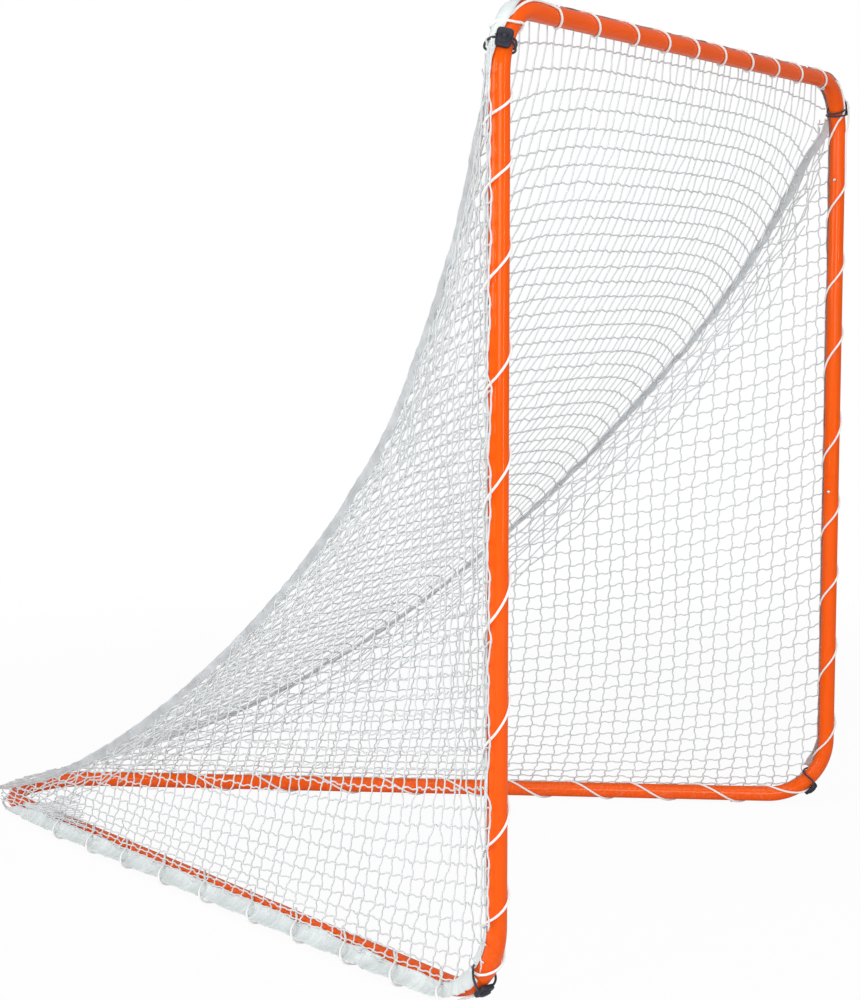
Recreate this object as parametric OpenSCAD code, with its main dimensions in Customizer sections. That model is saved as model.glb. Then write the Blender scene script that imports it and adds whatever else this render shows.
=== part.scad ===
// Field goal: a knock-down frame of round steel tube that stands on two legs
// meeting behind the mouth, with a laced square-mesh net hung over it.
// X runs along the crossbar, Y runs back into the net, Z is up.
// The origin is on the ground, midway between the posts.

/* [Mouth] */
// Clear width between the posts
mouth_w = 1829; // [1200:1:2440]
// Height from the underside of the leg tubes to the underside of the crossbar
mouth_h = 1829; // [1400:1:2440]
// Depth from the goal line to the point where the two leg lines would meet
goal_depth = 2134; // [1500:1:2600]

/* [Frame tube] */
// Outside diameter of the tube
tube_d = 38.1; // [32:0.1:50]
// Wall of the tube
tube_wall = 1.65; // [1.2:0.05:2.5]
// Bend radius of the top corners, to the tube's axis
top_bend_r = 125; // [100:1:180]
// Bend radius of the bottom corners, to the tube's axis
bottom_bend_r = 150; // [120:1:190]
// Bend radius at the rear, to the tube's axis
rear_bend_r = 176; // [110:1:200]

/* [Tube joints] */
// Arm of a top corner, from the crossing of the axes to its seam
top_arm = 280; // [250:1:380]
// Arm of a bottom corner up the post
post_arm = 834; // [400:1:900]
// Arm of a bottom corner along the leg
leg_arm = 280; // [260:1:400]
// Straight arm of the rear bend, past its curve
rear_arm = 150; // [120:1:300]
// Length of a swaged tube end inside its socket
swage_l = 76; // [60:1:100]
// Radial clearance between a swaged end and its socket
swage_gap = 0.25; // [0.1:0.05:0.5]
// Gap left at each seam
seam_gap = 0.3; // [0.1:0.1:1]
// Length of the step between full and swaged diameter
swage_step = 3; // [2:0.5:6]

/* [Snap buttons] */
// Diameter of a snap button
button_d = 7.5; // [5:0.5:9]
// Height of a button above the tube
button_rise = 4.5; // [3:0.5:6]
// Distance of a button from its seam
button_seat = 38; // [25:1:50]
// Radial clearance of a button in its holes
button_gap = 0.25; // [0.1:0.05:0.5]
// Thickness of the spring strip
spring_t = 1; // [0.6:0.1:1.5]
// Width of the spring strip
spring_w = 9; // [6:0.5:12]
// Length of the spring strip along the tube
spring_l = 52; // [40:1:62]

/* [Lacing cord] */
// Diameter of the lacing cord
lace_d = 5; // [4:0.5:6]
// Distance between turns along the tube
lace_pitch = 170; // [140:5:220]
// Gap between tube and cord at the middle of a turn's flats
lace_gap = 0.85; // [0.8:0.05:1.5]

/* [Net] */
// Distance between strands
mesh_pitch = 127; // [100:1:180]
// Width of a strand
strand_w = 7; // [5:0.5:10]
// Thickness of the net
net_t = 3.2; // [2:0.1:4]
// Width of the hem that the lacing goes round
hem_w = 24; // [20:1:28]
// Width of the slots beside the hem
slot_w = 13; // [12:0.5:18]
// Radius of the gathered seam between the back and a side
seam_r = 7; // [5:0.5:10]
// Slope of the back at the crossbar, from upright
top_slope = 6; // [5:1:25]
// Slope of the back at the rear bend, from level
rear_slope = 11.5; // [8:0.5:25]
// How hard the back sags towards the mouth, where 1 is a plain parabola
sag_weight = 0.55; // [0.5:0.05:1.2]
// How far the sides lean in above the legs
side_lean = 9.5; // [3:0.5:12]
// Share of the back's length at which the seams are drawn in most
seam_knee = 0.33; // [0.3:0.01:0.6]

/* [Corner clips] */
// Width of a clip plate
clip_w = 31; // [26:1:34]
// Length of a clip plate along the tube
clip_l = 38; // [32:1:44]
// Thickness of a clip plate
clip_t = 9; // [8:0.5:12]
// Corner radius of a clip plate
clip_corner = 6; // [3:0.5:10]
// Radius of the round boss on a clip plate
clip_boss_r = 11.5; // [8:0.5:13]
// Height of the boss
clip_boss_h = 3.5; // [2:0.5:5]
// Diameter of the elastic cord
elastic_d = 5; // [4:0.5:6]
// Clearance of the elastic in its channel
elastic_gap = 0.4; // [0.3:0.05:0.8]
// How far round a top corner a clip sits, from the post's end of the bend
clip_angle = 26; // [15:1:40]
// How far round a bottom corner a clip sits, from the post's end of the bend
foot_clip_angle = 50; // [35:1:60]
// Turn of the top clips from straight outwards towards the front
clip_turn = 29; // [0:1:45]

/* [Hidden] */
$fn = 64;
sides_lace = 6;
rings_lace = 12;

tube_r = tube_d / 2;
bore_r = tube_r - tube_wall;
swage_r = bore_r - swage_gap;
swage_bore_r = swage_r - tube_wall;
lace_r = lace_d / 2;
lace_flat = lace_d / 10;
turn_r = tube_r + lace_gap + lace_r;
leg_z = (turn_r + lace_r) * cos(side_lean) - lace_flat;
bar_z = leg_z + mouth_h;
half_w = mouth_w / 2 + tube_r;

// Unit vectors of the left leg: along it, and outwards from the goal
leg_len = norm([half_w, goal_depth]);
leg_dir = [half_w, goal_depth, 0] / leg_len;
leg_out = [-leg_dir[1], leg_dir[0], 0];
leg_az = atan2(leg_dir[1], leg_dir[0]);
foot = [-half_w, 0, leg_z];
up = [0, 0, 1];

// The rear bend turns through twice the angle that a leg has left to turn
rear_half = 90 - atan2(leg_dir[0], leg_dir[1]);
rear_tangent = rear_bend_r * tan(rear_half);
rear_centre_y = goal_depth - rear_bend_r / cos(rear_half);
leg_end = leg_len - rear_tangent;
rear_seam = leg_end - rear_arm;

// Stations along the frame, from the crossbar's middle to the rear bend
st_bar = half_w - top_bend_r;
st_post = st_bar + top_bend_r * PI / 2;
st_foot = st_post + mouth_h - top_bend_r - bottom_bend_r;
st_leg = st_foot + bottom_bend_r * PI / 2;
st_rear = st_leg + leg_end - bottom_bend_r;
st_clip_top = st_post - top_bend_r * clip_angle * PI / 180;

// The net's middle surface stands clear outside the plain lacing turns
net_gap = 0.6;
net_off = turn_r + lace_r + net_gap + net_t / 2;
reach = net_off + net_t / 2 + net_gap + lace_r;
slot_lo = hem_w / 2 + 1;
slot_hi = slot_lo + slot_w;
grid_lo = slot_hi + strand_w / 2;

// Back panel: a conic from the crossbar to the rear bend, in the YZ plane
back_top = [net_off * cos(top_slope), bar_z + net_off * sin(top_slope)];
back_end = [rear_centre_y + rear_bend_r + net_off * sin(rear_slope),
            leg_z + net_off * cos(rear_slope)];
dir_top = [sin(top_slope), -cos(top_slope)];
dir_end = [cos(rear_slope), -sin(rear_slope)];
back_mid = back_top + dir_top * cross2(back_end - back_top, dir_end)
                      / cross2(dir_top, dir_end);

function cross2(a, b) = a[0] * b[1] - a[1] * b[0];
function unit(v) = v / norm(v);
function mirror_x(v) = [-v[0], v[1], v[2]];
function sum_to(v, n) = n < 0 ? 0 : v[n] + sum_to(v, n - 1);

function conic(t) =
    let (a = (1 - t) * (1 - t), b = 2 * t * (1 - t) * sag_weight, c = t * t)
    (back_top * a + back_mid * b + back_end * c) / (a + b + c);

// The curve cut into rows of equal length
fine = 120;
curve = [for (i = [0:fine]) conic(i / fine)];
steps = [for (i = [0:fine - 1]) norm(curve[i + 1] - curve[i])];
run = [for (i = [0:fine]) sum_to(steps, i - 1)];
rows = round(run[fine] / mesh_pitch);
row_l = run[fine] / rows;
function at_run(d) =
    let (k = max([for (i = [0:fine - 1]) run[i] <= d ? i : 0]))
    curve[k] + (curve[k + 1] - curve[k]) * (d - run[k]) / steps[k];
back = [for (i = [0:rows]) at_run(min(i * row_l, run[fine] - 0.01))];

// Side panel: two flats, each net_off away from its tube, either side of a fold.
// The rear flat leans in above the leg, and the front flat is upright.
rear_out = leg_out * cos(side_lean) + up * sin(side_lean);
rear_up = up * cos(side_lean) - leg_out * sin(side_lean);
function rear_x(p) = foot[0] + (net_off - p[0] * rear_out[1]
                                - (p[1] - leg_z) * rear_out[2]) / rear_out[0];
knee_run = seam_knee * run[fine];
knee_yz = at_run(knee_run);
knee = [rear_x(knee_yz), knee_yz[0], knee_yz[1]];
knee_plan = [knee[0] - foot[0], knee[1]];
front_az = atan2(knee_plan[1], knee_plan[0]) - asin(net_off / norm(knee_plan));
front_dir = [cos(front_az), sin(front_az), 0];
front_out = [-sin(front_az), cos(front_az), 0];
function front_x(p) = foot[0] + (net_off - p[0] * front_out[1]) / front_out[0];

// Places on each flat, measured from the tube's axis along and across the flat
front_origin = [foot[0], foot[1], 0] + front_out * net_off;
rear_origin = foot + rear_out * net_off;
function on_front(p) = let (d = [front_x(p), p[0], p[1]] - front_origin) [d * front_dir, d[2]];
function on_rear(p) = let (d = [rear_x(p), p[0], p[1]] - rear_origin) [d * leg_dir, d * rear_up];
// Where the fold comes down to the leg's height
fold_det = cross2(rear_out, front_out);
fold_foot = foot + net_off * [front_out[1] - rear_out[1], rear_out[0] - front_out[0], 0] / fold_det;

// Place of a seam at a point of the back's curve
function seam_pt(p) = [p[0] <= knee[1] ? front_x(p) : rear_x(p), p[0], p[1]];
seam_start = top_bend_r / 2 + net_off;
seam_short = 60;
seam_stop = run[fine] - seam_short;
seam_rings = 28;
seam_line = [for (i = [0:seam_rings])
    seam_pt(at_run(seam_start + (seam_stop - seam_start) * i / seam_rings))];

// Frame path: position, direction and the net's side, at station s.
// Stations run from the right leg (negative) over the crossbar to the left leg.
bar_out = [0, cos(top_slope), sin(top_slope)];
function square_to(v, t) = unit(v - t * (v * t));
function left_path(s) =
    s <= st_bar ? [[-s, 0, bar_z], [-1, 0, 0], bar_out] :
    s <= st_post ? let (a = (s - st_bar) / top_bend_r * 180 / PI, t = [-cos(a), 0, -sin(a)])
        [[-st_bar, 0, bar_z - top_bend_r] + top_bend_r * [-sin(a), 0, cos(a)], t,
         square_to(bar_out * (1 - a / 90) + front_out * a / 90, t)] :
    s <= st_foot ? [[-half_w, 0, bar_z - top_bend_r - (s - st_post)], -up, front_out] :
    s <= st_leg ? let (a = (s - st_foot) / bottom_bend_r * 180 / PI,
                       t = leg_dir * sin(a) - up * cos(a))
        [foot + (leg_dir * (1 - cos(a)) + up * (1 - sin(a))) * bottom_bend_r, t,
         square_to(front_out * (1 - a / 90) + rear_out * a / 90, t)] :
    [foot + leg_dir * (bottom_bend_r + s - st_leg), leg_dir, rear_out];
function path(s) = s >= 0 ? left_path(s) :
    let (f = left_path(-s)) [mirror_x(f[0]), -mirror_x(f[1]), mirror_x(f[2])];

// A turn is round in the bends and reaches round the hem on straight runs
turn_room = 35;
turn_ease = 3.4;
hem_angle = 31;
function is_straight(s) = let (a = abs(s))
    a < st_bar - turn_room || a > st_leg + turn_room
    || (a > st_post + turn_room && a < st_foot - turn_room);
function turn_at(phi, middle) =
    !is_straight(middle) ? turn_r :
    cos(phi) > cos(hem_angle) ? reach / cos(phi) :
    cos(phi) > cos(2 * hem_angle) ? turn_r + turn_ease : turn_r;

// Stations of the snap buttons
st_button_bar = half_w - top_arm + button_seat;
st_button_upper = st_post + top_arm - top_bend_r - button_seat;
st_button_lower = st_foot - (post_arm - button_seat - bottom_bend_r);
st_button_front = st_leg + leg_arm - button_seat - bottom_bend_r;
st_button_rear = st_leg + rear_seam + button_seat - bottom_bend_r;

// A lacing is [first station, last station, whole turns]. Its turns are spaced so
// that whole ones fit between the two buttons of its tube, which stand midway
// between turns, and it fills the room from low to high.
function even_pitch(l) = l / max(1, round(l / lace_pitch));
function lacing(first_button, last_button, low, high) =
    let (q = even_pitch(last_button - first_button),
         a = first_button - q * (floor((first_button - low) / q - 0.5) + 0.5),
         n = floor((high - a) / q))
    [a, a + n * q, n];
function other_way(l) = [-l[1], -l[0], l[2]];
function pitch_of(l) = (l[1] - l[0]) / l[2];

// Where the lacing starts on each side of a top clip, and at the other bends
bar_start = clip_l / 2 + 6 * lace_d;
post_start = clip_l / 2;
foot_start = 8 * lace_d;
rear_start = 18 * lace_d;
bar_pitch = st_button_bar / max(1, round(st_button_bar / lace_pitch));
bar_turns = floor((st_clip_top - bar_start) / bar_pitch);
bar_lace = [-bar_pitch * bar_turns, bar_pitch * bar_turns, 2 * bar_turns];
post_lace = lacing(st_button_upper, st_button_lower, st_clip_top + post_start,
                   st_foot + foot_start);
leg_lace = lacing(st_button_front, st_button_rear, st_leg - foot_start,
                  st_rear - rear_start);

// Centre line of a lacing
function lace_line(l) =
    let (n = l[2] * rings_lace, q = pitch_of(l))
    [for (i = [0:n])
        let (s = l[0] + q * i / rings_lace, phi = 180 + 360 * i / rings_lace, f = path(s),
             middle = l[0] + q * (floor(i / rings_lace) + 0.5))
        f[0] + turn_at(phi, middle) * (f[2] * cos(phi) + cross(f[1], f[2]) * sin(phi))];

// Stations of the slots beside a hem: one where each turn passes through the
// net, a little past its middle, and others evenly between it and the next
slots_per_turn = 2;
pass_angle = 38;
function slot_stations(l) =
    [for (k = [0:slots_per_turn * l[2] - 1])
        l[0] + pitch_of(l) * (k / slots_per_turn + 0.5 + pass_angle / 360)];
function slot_length(l) = pitch_of(l) / slots_per_turn - strand_w - 1;

// Tube swept along points, closed at both ends
function tangent(p, i) = unit(p[min(i + 1, len(p) - 1)] - p[max(i - 1, 0)]);
function ring(c, t, r, n, lean) =
    let (x = unit(cross(t, lean)), y = cross(t, x))
    [for (j = [0:n - 1]) c + r * (x * cos(360 * (j + 0.5) / n) + y * sin(360 * (j + 0.5) / n))];
module swept_tube(p, r, n, lean) {
    m = len(p);
    pts = [for (i = [0:m - 1]) each ring(p[i], tangent(p, i), r, n, lean[i])];
    wall = [for (i = [0:m - 2], j = [0:n - 1]) let (k = (j + 1) % n)
        each [[i * n + j, (i + 1) * n + k, i * n + k],
              [i * n + j, (i + 1) * n + j, (i + 1) * n + k]]];
    caps = [for (j = [1:n - 2]) each [[0, j, j + 1], [(m - 1) * n, (m - 1) * n + j + 1,
                                                       (m - 1) * n + j]]];
    polyhedron(pts, concat(wall, caps));
}
module lace(l) {
    p = lace_line(l);
    n = len(p) - 1;
    out = [for (i = [0:n]) p[i] - path(l[0] + (l[1] - l[0]) * i / n)[0]];
    color("white") swept_tube(p, lace_r, sides_lace, out);
}

// Least gap of a cord to itself, measured on points more than half a turn apart
function self_gap(p, skip) = min([for (i = [0:len(p) - 1 - skip])
    min([for (j = [i + skip:len(p) - 1]) norm(p[i] - p[j])])]) - lace_d;
echo(crossbar_lacing_least_gap = self_gap(lace_line(bar_lace), 7));
echo(post_lacing_least_gap = self_gap(lace_line(post_lace), 7));
echo(leg_lacing_least_gap = self_gap(lace_line(leg_lace), 7));
echo(turns = [bar_lace[2], post_lace[2], leg_lace[2]]);
echo(back_rows = rows, back_length = run[fine], knee = knee);

module on_side(right) {
    if (right) mirror([1, 0, 0]) children();
    else children();
}

// Places for the left half: Z points into the socket, X to the button's side
module at_bar_seam() {
    translate([-half_w + top_arm, 0, bar_z]) rotate([0, -90, 0]) children();
}
module at_post_upper_seam() {
    translate([-half_w, 0, bar_z - top_arm]) children();
}
module at_post_lower_seam() {
    translate([-half_w, 0, leg_z + post_arm]) rotate([180, 0, 0]) children();
}
module at_leg_front_seam() {
    translate(foot + leg_dir * leg_arm) rotate([0, 90, leg_az + 180]) children();
}
module at_leg_rear_seam() {
    translate(foot + leg_dir * rear_seam) rotate([0, 90, leg_az]) children();
}

// How far a cut runs past what it cuts
through = 1;

// A bend of a tube or of its bore, about Z from the X axis
module bend(r, turn, tube) {
    rotate_extrude(angle = turn) translate([r, 0]) circle(tube);
}
module button_hole() {
    translate([0, 0, button_seat]) rotate([0, 90, 0])
        cylinder(r = button_d / 2 + button_gap, h = tube_r + through);
}

// Outside (or bore) of a top corner: arm, bend, arm
module top_corner_body(r, extra) {
    translate([-half_w, 0, bar_z]) {
        translate([0, 0, -top_arm - extra])
            cylinder(r = r, h = top_arm - top_bend_r + extra);
        translate([top_bend_r, 0, -top_bend_r]) rotate([90, 0, 0]) rotate(90)
            bend(top_bend_r, 90, r);
        translate([top_bend_r, 0, 0]) rotate([0, 90, 0])
            cylinder(r = r, h = top_arm - top_bend_r + extra);
    }
}
module top_corner(right) {
    color("orangered") on_side(right) difference() {
        top_corner_body(tube_r, 0);
        top_corner_body(bore_r, through);
        at_bar_seam() button_hole();
        at_post_upper_seam() button_hole();
    }
}

module bottom_corner_body(r, extra) {
    translate(foot) rotate([0, 0, leg_az]) {
        translate([0, 0, bottom_bend_r]) cylinder(r = r, h = post_arm - bottom_bend_r + extra);
        translate([bottom_bend_r, 0, bottom_bend_r]) rotate([90, 0, 0]) rotate(180)
            bend(bottom_bend_r, 90, r);
        translate([bottom_bend_r, 0, 0]) rotate([0, 90, 0])
            cylinder(r = r, h = leg_arm - bottom_bend_r + extra);
    }
}
module bottom_corner(right) {
    color("orangered") on_side(right) difference() {
        bottom_corner_body(tube_r, 0);
        bottom_corner_body(bore_r, through);
        at_post_lower_seam() button_hole();
        at_leg_front_seam() button_hole();
    }
}

module rear_bend_body(r, extra) {
    translate([0, rear_centre_y, leg_z]) {
        rotate(90 - rear_half) bend(rear_bend_r, 2 * rear_half, r);
        for (right = [false, true]) on_side(right) rotate(90 - rear_half)
            translate([rear_bend_r, 0, 0]) rotate([90, 0, 0])
                cylinder(r = r, h = rear_arm + extra);
    }
}
module rear_bend() {
    color("orangered") difference() {
        rear_bend_body(tube_r, 0);
        rear_bend_body(bore_r, through);
        for (right = [false, true]) on_side(right) at_leg_rear_seam() button_hole();
    }
}

// Straight tube with a swaged end at each side, below a seam at the origin
module swaged_tube(l) {
    a = seam_gap;
    b = seam_gap + swage_step;
    color("orangered") difference() {
        rotate_extrude() polygon([
            [swage_bore_r, swage_l], [swage_bore_r, -b], [bore_r, -b],
            [bore_r, b - l], [swage_bore_r, b - l], [swage_bore_r, -l - swage_l],
            [swage_r, -l - swage_l], [swage_r, a - l], [tube_r, a - l],
            [tube_r, -a], [swage_r, -a], [swage_r, swage_l]]);
        button_hole();
        translate([0, 0, -l]) mirror([0, 0, 1]) button_hole();
    }
}
post_l = bar_z - top_arm - leg_z - post_arm;
module crossbar_tube() {
    at_bar_seam() swaged_tube(2 * (half_w - top_arm));
}
module post_tube(right) {
    on_side(right) at_post_upper_seam() swaged_tube(post_l);
}
module leg_tube(right) {
    on_side(right) at_leg_front_seam() swaged_tube(rear_seam - leg_arm);
}

// Spring strip bent to a V, with a flat under the button
spring_play = 0.2;
spring_top = sqrt(pow(swage_bore_r, 2) - pow(spring_w / 2, 2)) - spring_play;
spring_flat = button_d + 6;
spring_tip = 8;
spring_bend = 4;
module spring_leg() {
    z1 = button_seat + spring_tip;
    z2 = z1 - spring_flat;
    z3 = z1 - spring_l + spring_bend;
    polygon([[spring_top, z1], [spring_top - spring_t, z1],
        [spring_top - spring_t, z2], [spring_bend - spring_t, z3],
        [spring_bend, z3], [spring_top, z2]]);
}
module spring() {
    rotate([90, 0, 0]) linear_extrude(spring_w, center = true) {
        spring_leg();
        mirror([1, 0]) spring_leg();
        translate([0, button_seat + spring_tip - spring_l + spring_bend])
            difference() {
                circle(spring_bend);
                circle(spring_bend - spring_t);
                translate([-spring_bend, 0]) square(2 * spring_bend);
            }
    }
}
module snap_springs() {
    color("silver") for (right = [false, true]) on_side(right) {
        at_bar_seam() spring();
        at_post_upper_seam() spring();
        at_post_lower_seam() spring();
        at_leg_front_seam() spring();
        at_leg_rear_seam() spring();
    }
}

// Round-headed button that stands on the spring's flat
button_play = 0.1;
button_base = spring_top + button_play;
button_dome = button_d * 0.8;
module snap_button() {
    l = tube_r + button_rise - button_base;
    shoulder = l - button_dome + sqrt(pow(button_dome, 2) - pow(button_d / 2, 2));
    color("silver") translate([button_base, 0, button_seat]) rotate([0, 90, 0])
        rotate_extrude() intersection() {
            union() {
                square([button_d / 2, shoulder]);
                translate([0, l - button_dome]) circle(button_dome);
            }
            square([button_d / 2, l]);
        }
}

// Points of a line moved sideways by m, to the right of its direction
function shifted(p, m) = [for (i = [0:len(p) - 1])
    let (t = unit(p[min(i + 1, len(p) - 1)] - p[max(i - 1, 0)]))
    p[i] + m * [t[1], -t[0]]];
function reversed(p) = [for (i = [len(p) - 1:-1:0]) p[i]];

// The seam's line on each flat, each carried a little past the knee
seam_clear = 1;
seam_side = seam_r + seam_clear;
past_knee = 60;
flat_short = 150;
flat_end = run[fine] - flat_short;
cuts = 12;
front_seam = [for (i = [0:cuts]) on_front(at_run(
    seam_start + (knee_run + past_knee - seam_start) * i / cuts))];
rear_seam_line = [for (i = [0:cuts]) on_rear(at_run(
    knee_run - past_knee + (flat_end - knee_run + past_knee) * i / cuts))];
strand_half = strand_w / 2;
far = 4 * goal_depth;

// Everything on the inner side of a seam's line, m away from it
module inside_seam(line, m) {
    p = shifted(line, m);
    polygon(concat([[-far, p[0][1]]], p, [[p[cuts][0], -far], [-far, -far]]));
}
module mesh_gaps(x0, y0, nx, ny) {
    for (i = [0:nx - 1], j = [0:ny - 1])
        translate([x0 + i * mesh_pitch, y0 + j * mesh_pitch]) square(mesh_pitch - strand_w);
}

// Front flat: x back from the post's axis, y up from the ground. Its rear edge is
// the fold below the knee, its top a slant from the post to the start of the seam.
fold_front = [fold_foot - front_origin, knee - front_origin];
function fold_x(z) = fold_front[0] * front_dir
    + (fold_front[1] - fold_front[0]) * front_dir * (z - leg_z) / (knee[2] - leg_z);
post_top = bar_z - top_bend_r;
module front_edge(side, m) {
    corner = front_seam[0] - [hem_w / 2, post_top];
    polygon([[side, 0], [fold_x(0) - m, 0], [fold_x(far) - m, far],
        [hem_w / 2, post_top - m] + corner * 4, [hem_w / 2, post_top - m],
        [side, post_top - m]]);
}
fold_gap = 0.5;
module front_flat(stations) {
    l = slot_length(post_lace);
    difference() {
        intersection() {
            front_edge(-hem_w / 2, fold_gap);
            inside_seam(front_seam, seam_side);
        }
        intersection() {
            front_edge(grid_lo, strand_w);
            inside_seam(front_seam, seam_side + strand_w);
            mesh_gaps(grid_lo, leg_z + grid_lo, ceil(knee_plan[1] / mesh_pitch) + 1,
                ceil(mouth_h / mesh_pitch));
        }
        for (s = stations)
            if (s > st_post + l / 2 && s < st_foot)
                translate([slot_lo, post_top - (s - st_post) - l / 2]) square([slot_w, l]);
    }
}

// Rear flat: x along the leg from the post's axis, y up the slope from the leg's
fold_rear = [for (p = [fold_foot, knee]) let (d = p - rear_origin) [d * leg_dir, d * rear_up]];
fold_slope = (fold_rear[1][1] - fold_rear[0][1]) / (fold_rear[1][0] - fold_rear[0][0]);
function fold_v(u) = fold_rear[0][1] + fold_slope * (u - fold_rear[0][0]);
module rear_edge(side, m) {
    stop = rear_seam_line[cuts][0] - m;
    start = m + fold_rear[0][0] + (side - fold_rear[0][1]) / fold_slope;
    polygon([[start, side], [stop, side], [stop, fold_v(stop - m)]]);
}
module rear_flat(stations) {
    l = slot_length(leg_lace);
    stop = rear_seam_line[cuts][0];
    difference() {
        intersection() {
            rear_edge(-hem_w / 2, fold_gap);
            inside_seam(rear_seam_line, seam_side);
        }
        intersection() {
            rear_edge(grid_lo, strand_w);
            inside_seam(rear_seam_line, seam_side + strand_w);
            mesh_gaps(0, grid_lo, ceil(stop / mesh_pitch), ceil(knee[2] / mesh_pitch));
        }
        for (s = stations)
            if (s > st_leg && s - st_leg + bottom_bend_r < stop - l / 2)
                translate([bottom_bend_r + s - st_leg - l / 2, slot_lo]) square([l, slot_w]);
    }
}

// Room for a bottom bend and its clip: all that lies outside a rounder corner
corner_room = turn_r + lace_r + elastic_d;
module corner_cut() {
    translate(foot + (leg_dir + up) * bottom_bend_r) rotate([90, 0, leg_az])
        linear_extrude(4 * bottom_bend_r, center = true) difference() {
            translate(-[2, 2] * bottom_bend_r) square(2 * bottom_bend_r);
            circle(bottom_bend_r - corner_room);
        }
}
module net_side(right) {
    posts = right ? -slot_stations(other_way(post_lace)) : slot_stations(post_lace);
    legs = right ? -slot_stations(other_way(leg_lace)) : slot_stations(leg_lace);
    color("whitesmoke") on_side(right) difference() {
        union() {
            translate(front_origin) rotate([90, 0, front_az])
                linear_extrude(net_t, center = true) front_flat(posts);
            translate(rear_origin) rotate([0, 0, leg_az]) rotate([90 + side_lean, 0, 0])
                linear_extrude(net_t, center = true) rear_flat(legs);
        }
        corner_cut();
    }
}

// Back panel: the curve swept across in rows, cut in plan m inside its border.
// The border is a slant in from the hem's end, the seams, and the rear bend.
hem_end = st_bar + bar_start;
function border(m) = concat([[m - hem_end, -far], [m - hem_end, back_top[0] + m / 4]],
    [for (p = seam_line) [p[0] + m, p[1]]], [[seam_line[seam_rings][0] + m, far]]);
module back_border(m) {
    half = border(m);
    intersection() {
        polygon(concat(half, reversed([for (p = half) [-p[0], p[1]]])));
        union() {
            translate([-far, -far]) square([2 * far, far + rear_centre_y]);
            translate([0, rear_centre_y]) circle(rear_bend_r + net_off - m / 2);
        }
    }
}
module row_box(x, i, from, to, w) {
    d = back[i + 1] - back[i];
    translate([x, back[i][0], back[i][1]]) rotate([atan2(d[1], d[0]), 0, 0])
        translate([-w / 2, from, -net_t]) cube([w, to - from, 2 * net_t]);
}
// The back is made in strips of whole rows, which meet in the middle of a strand
strip_rows = 3;
strip_gap = 0.4;
module strip_cut(i) {
    d = back[i + 1] - back[i - 1];
    translate([0, back[i][0], back[i][1]]) rotate([atan2(d[1], d[0]), 0, 0])
        cube([2 * half_w + 2 * net_off, strip_gap, 4 * net_t], center = true);
}
module net_back() {
    profile = concat([back_top - dir_top * hem_w / 2], back,
        [back_end + dir_end * hem_w / 2]);
    l = slot_length(bar_lace);
    n = ceil(half_w / mesh_pitch);
    color("whitesmoke") difference() {
        intersection() {
            rotate([90, 0, 90]) linear_extrude(2 * half_w, center = true)
                polygon(concat(shifted(profile, net_t / 2),
                    reversed(shifted(profile, -net_t / 2))));
            linear_extrude(2 * bar_z) back_border(seam_side);
        }
        intersection() {
            union() for (i = [0:rows - 1], k = [-n:n])
                if (abs(k) * mesh_pitch - mesh_pitch / 2 < -seam_pt(back[i])[0] - seam_side)
                    row_box(k * mesh_pitch, i, i == 0 ? grid_lo : strand_half,
                        row_l - strand_half, mesh_pitch - strand_w);
            linear_extrude(2 * bar_z) back_border(seam_side + strand_w);
        }
        for (s = slot_stations(bar_lace))
            if (abs(s) < st_bar - l) row_box(-s, 0, slot_lo, slot_hi, l);
        for (i = [strip_rows:strip_rows:rows - strip_rows]) strip_cut(i);
    }
}
module net_seam(right) {
    color("whitesmoke") on_side(right)
        swept_tube(seam_line, seam_r, 6, [for (p = seam_line) [1, 0, 0]]);
}

// Lacing, cut flat where it stands on the ground
module lacing_post(right) {
    if (right) lace(other_way(post_lace));
    else lace(post_lace);
}
module lacing_leg(right) {
    difference() {
        if (right) lace(other_way(leg_lace));
        else lace(leg_lace);
        translate([-far, -far, -far]) cube([2 * far, 2 * far, far]);
    }
}

// Corner clip and its elastic: X points out from the tube, Z along it
clip_gap = 1.2;
clip_in = tube_r + clip_gap;
elastic_front = clip_in + clip_t / 2;
elastic_back = tube_r + elastic_d / 2 + lace_gap;
clip_cap_r = clip_boss_r - 4;
clip_cap_h = 1;
module elastic_ring(r) {
    translate([(elastic_front - elastic_back) / 2, 0, 0]) rotate_extrude()
        translate([(elastic_front + elastic_back) / 2, 0]) circle(r);
}
module clip_outline() {
    for (x = [-1, 1], y = [-1, 1])
        translate([x * (clip_w / 2 - clip_corner), y * (clip_l / 2 - clip_corner)])
            circle(clip_corner);
    square([clip_w, clip_l - 2 * clip_corner], center = true);
    square([clip_w - 2 * clip_corner, clip_l], center = true);
}
module clip() {
    color("dimgray") difference() {
        union() {
            translate([clip_in, 0, 0]) rotate([90, 0, 90]) linear_extrude(clip_t) clip_outline();
            translate([clip_in + clip_t, 0, 0]) rotate([0, 90, 0])
                cylinder(r = clip_boss_r, h = clip_boss_h);
            translate([clip_in + clip_t + clip_boss_h, 0, 0]) rotate([0, 90, 0])
                cylinder(r = clip_cap_r, h = clip_cap_h);
        }
        elastic_ring(elastic_d / 2 + elastic_gap);
    }
}
module elastic() {
    color("black") elastic_ring(elastic_d / 2);
}
module at_top_clip() {
    translate([-st_bar, 0, bar_z - top_bend_r] + top_bend_r
              * [-cos(clip_angle), 0, sin(clip_angle)])
        rotate([0, clip_angle - 180, 0]) rotate([0, 0, -clip_turn]) children();
}
module at_bottom_clip() {
    translate(foot + bottom_bend_r * (leg_dir * (1 - cos(foot_clip_angle))
                                      + up * (1 - sin(foot_clip_angle))))
        rotate([0, 0, leg_az]) rotate([0, 180 - foot_clip_angle, 0]) children();
}

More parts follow.
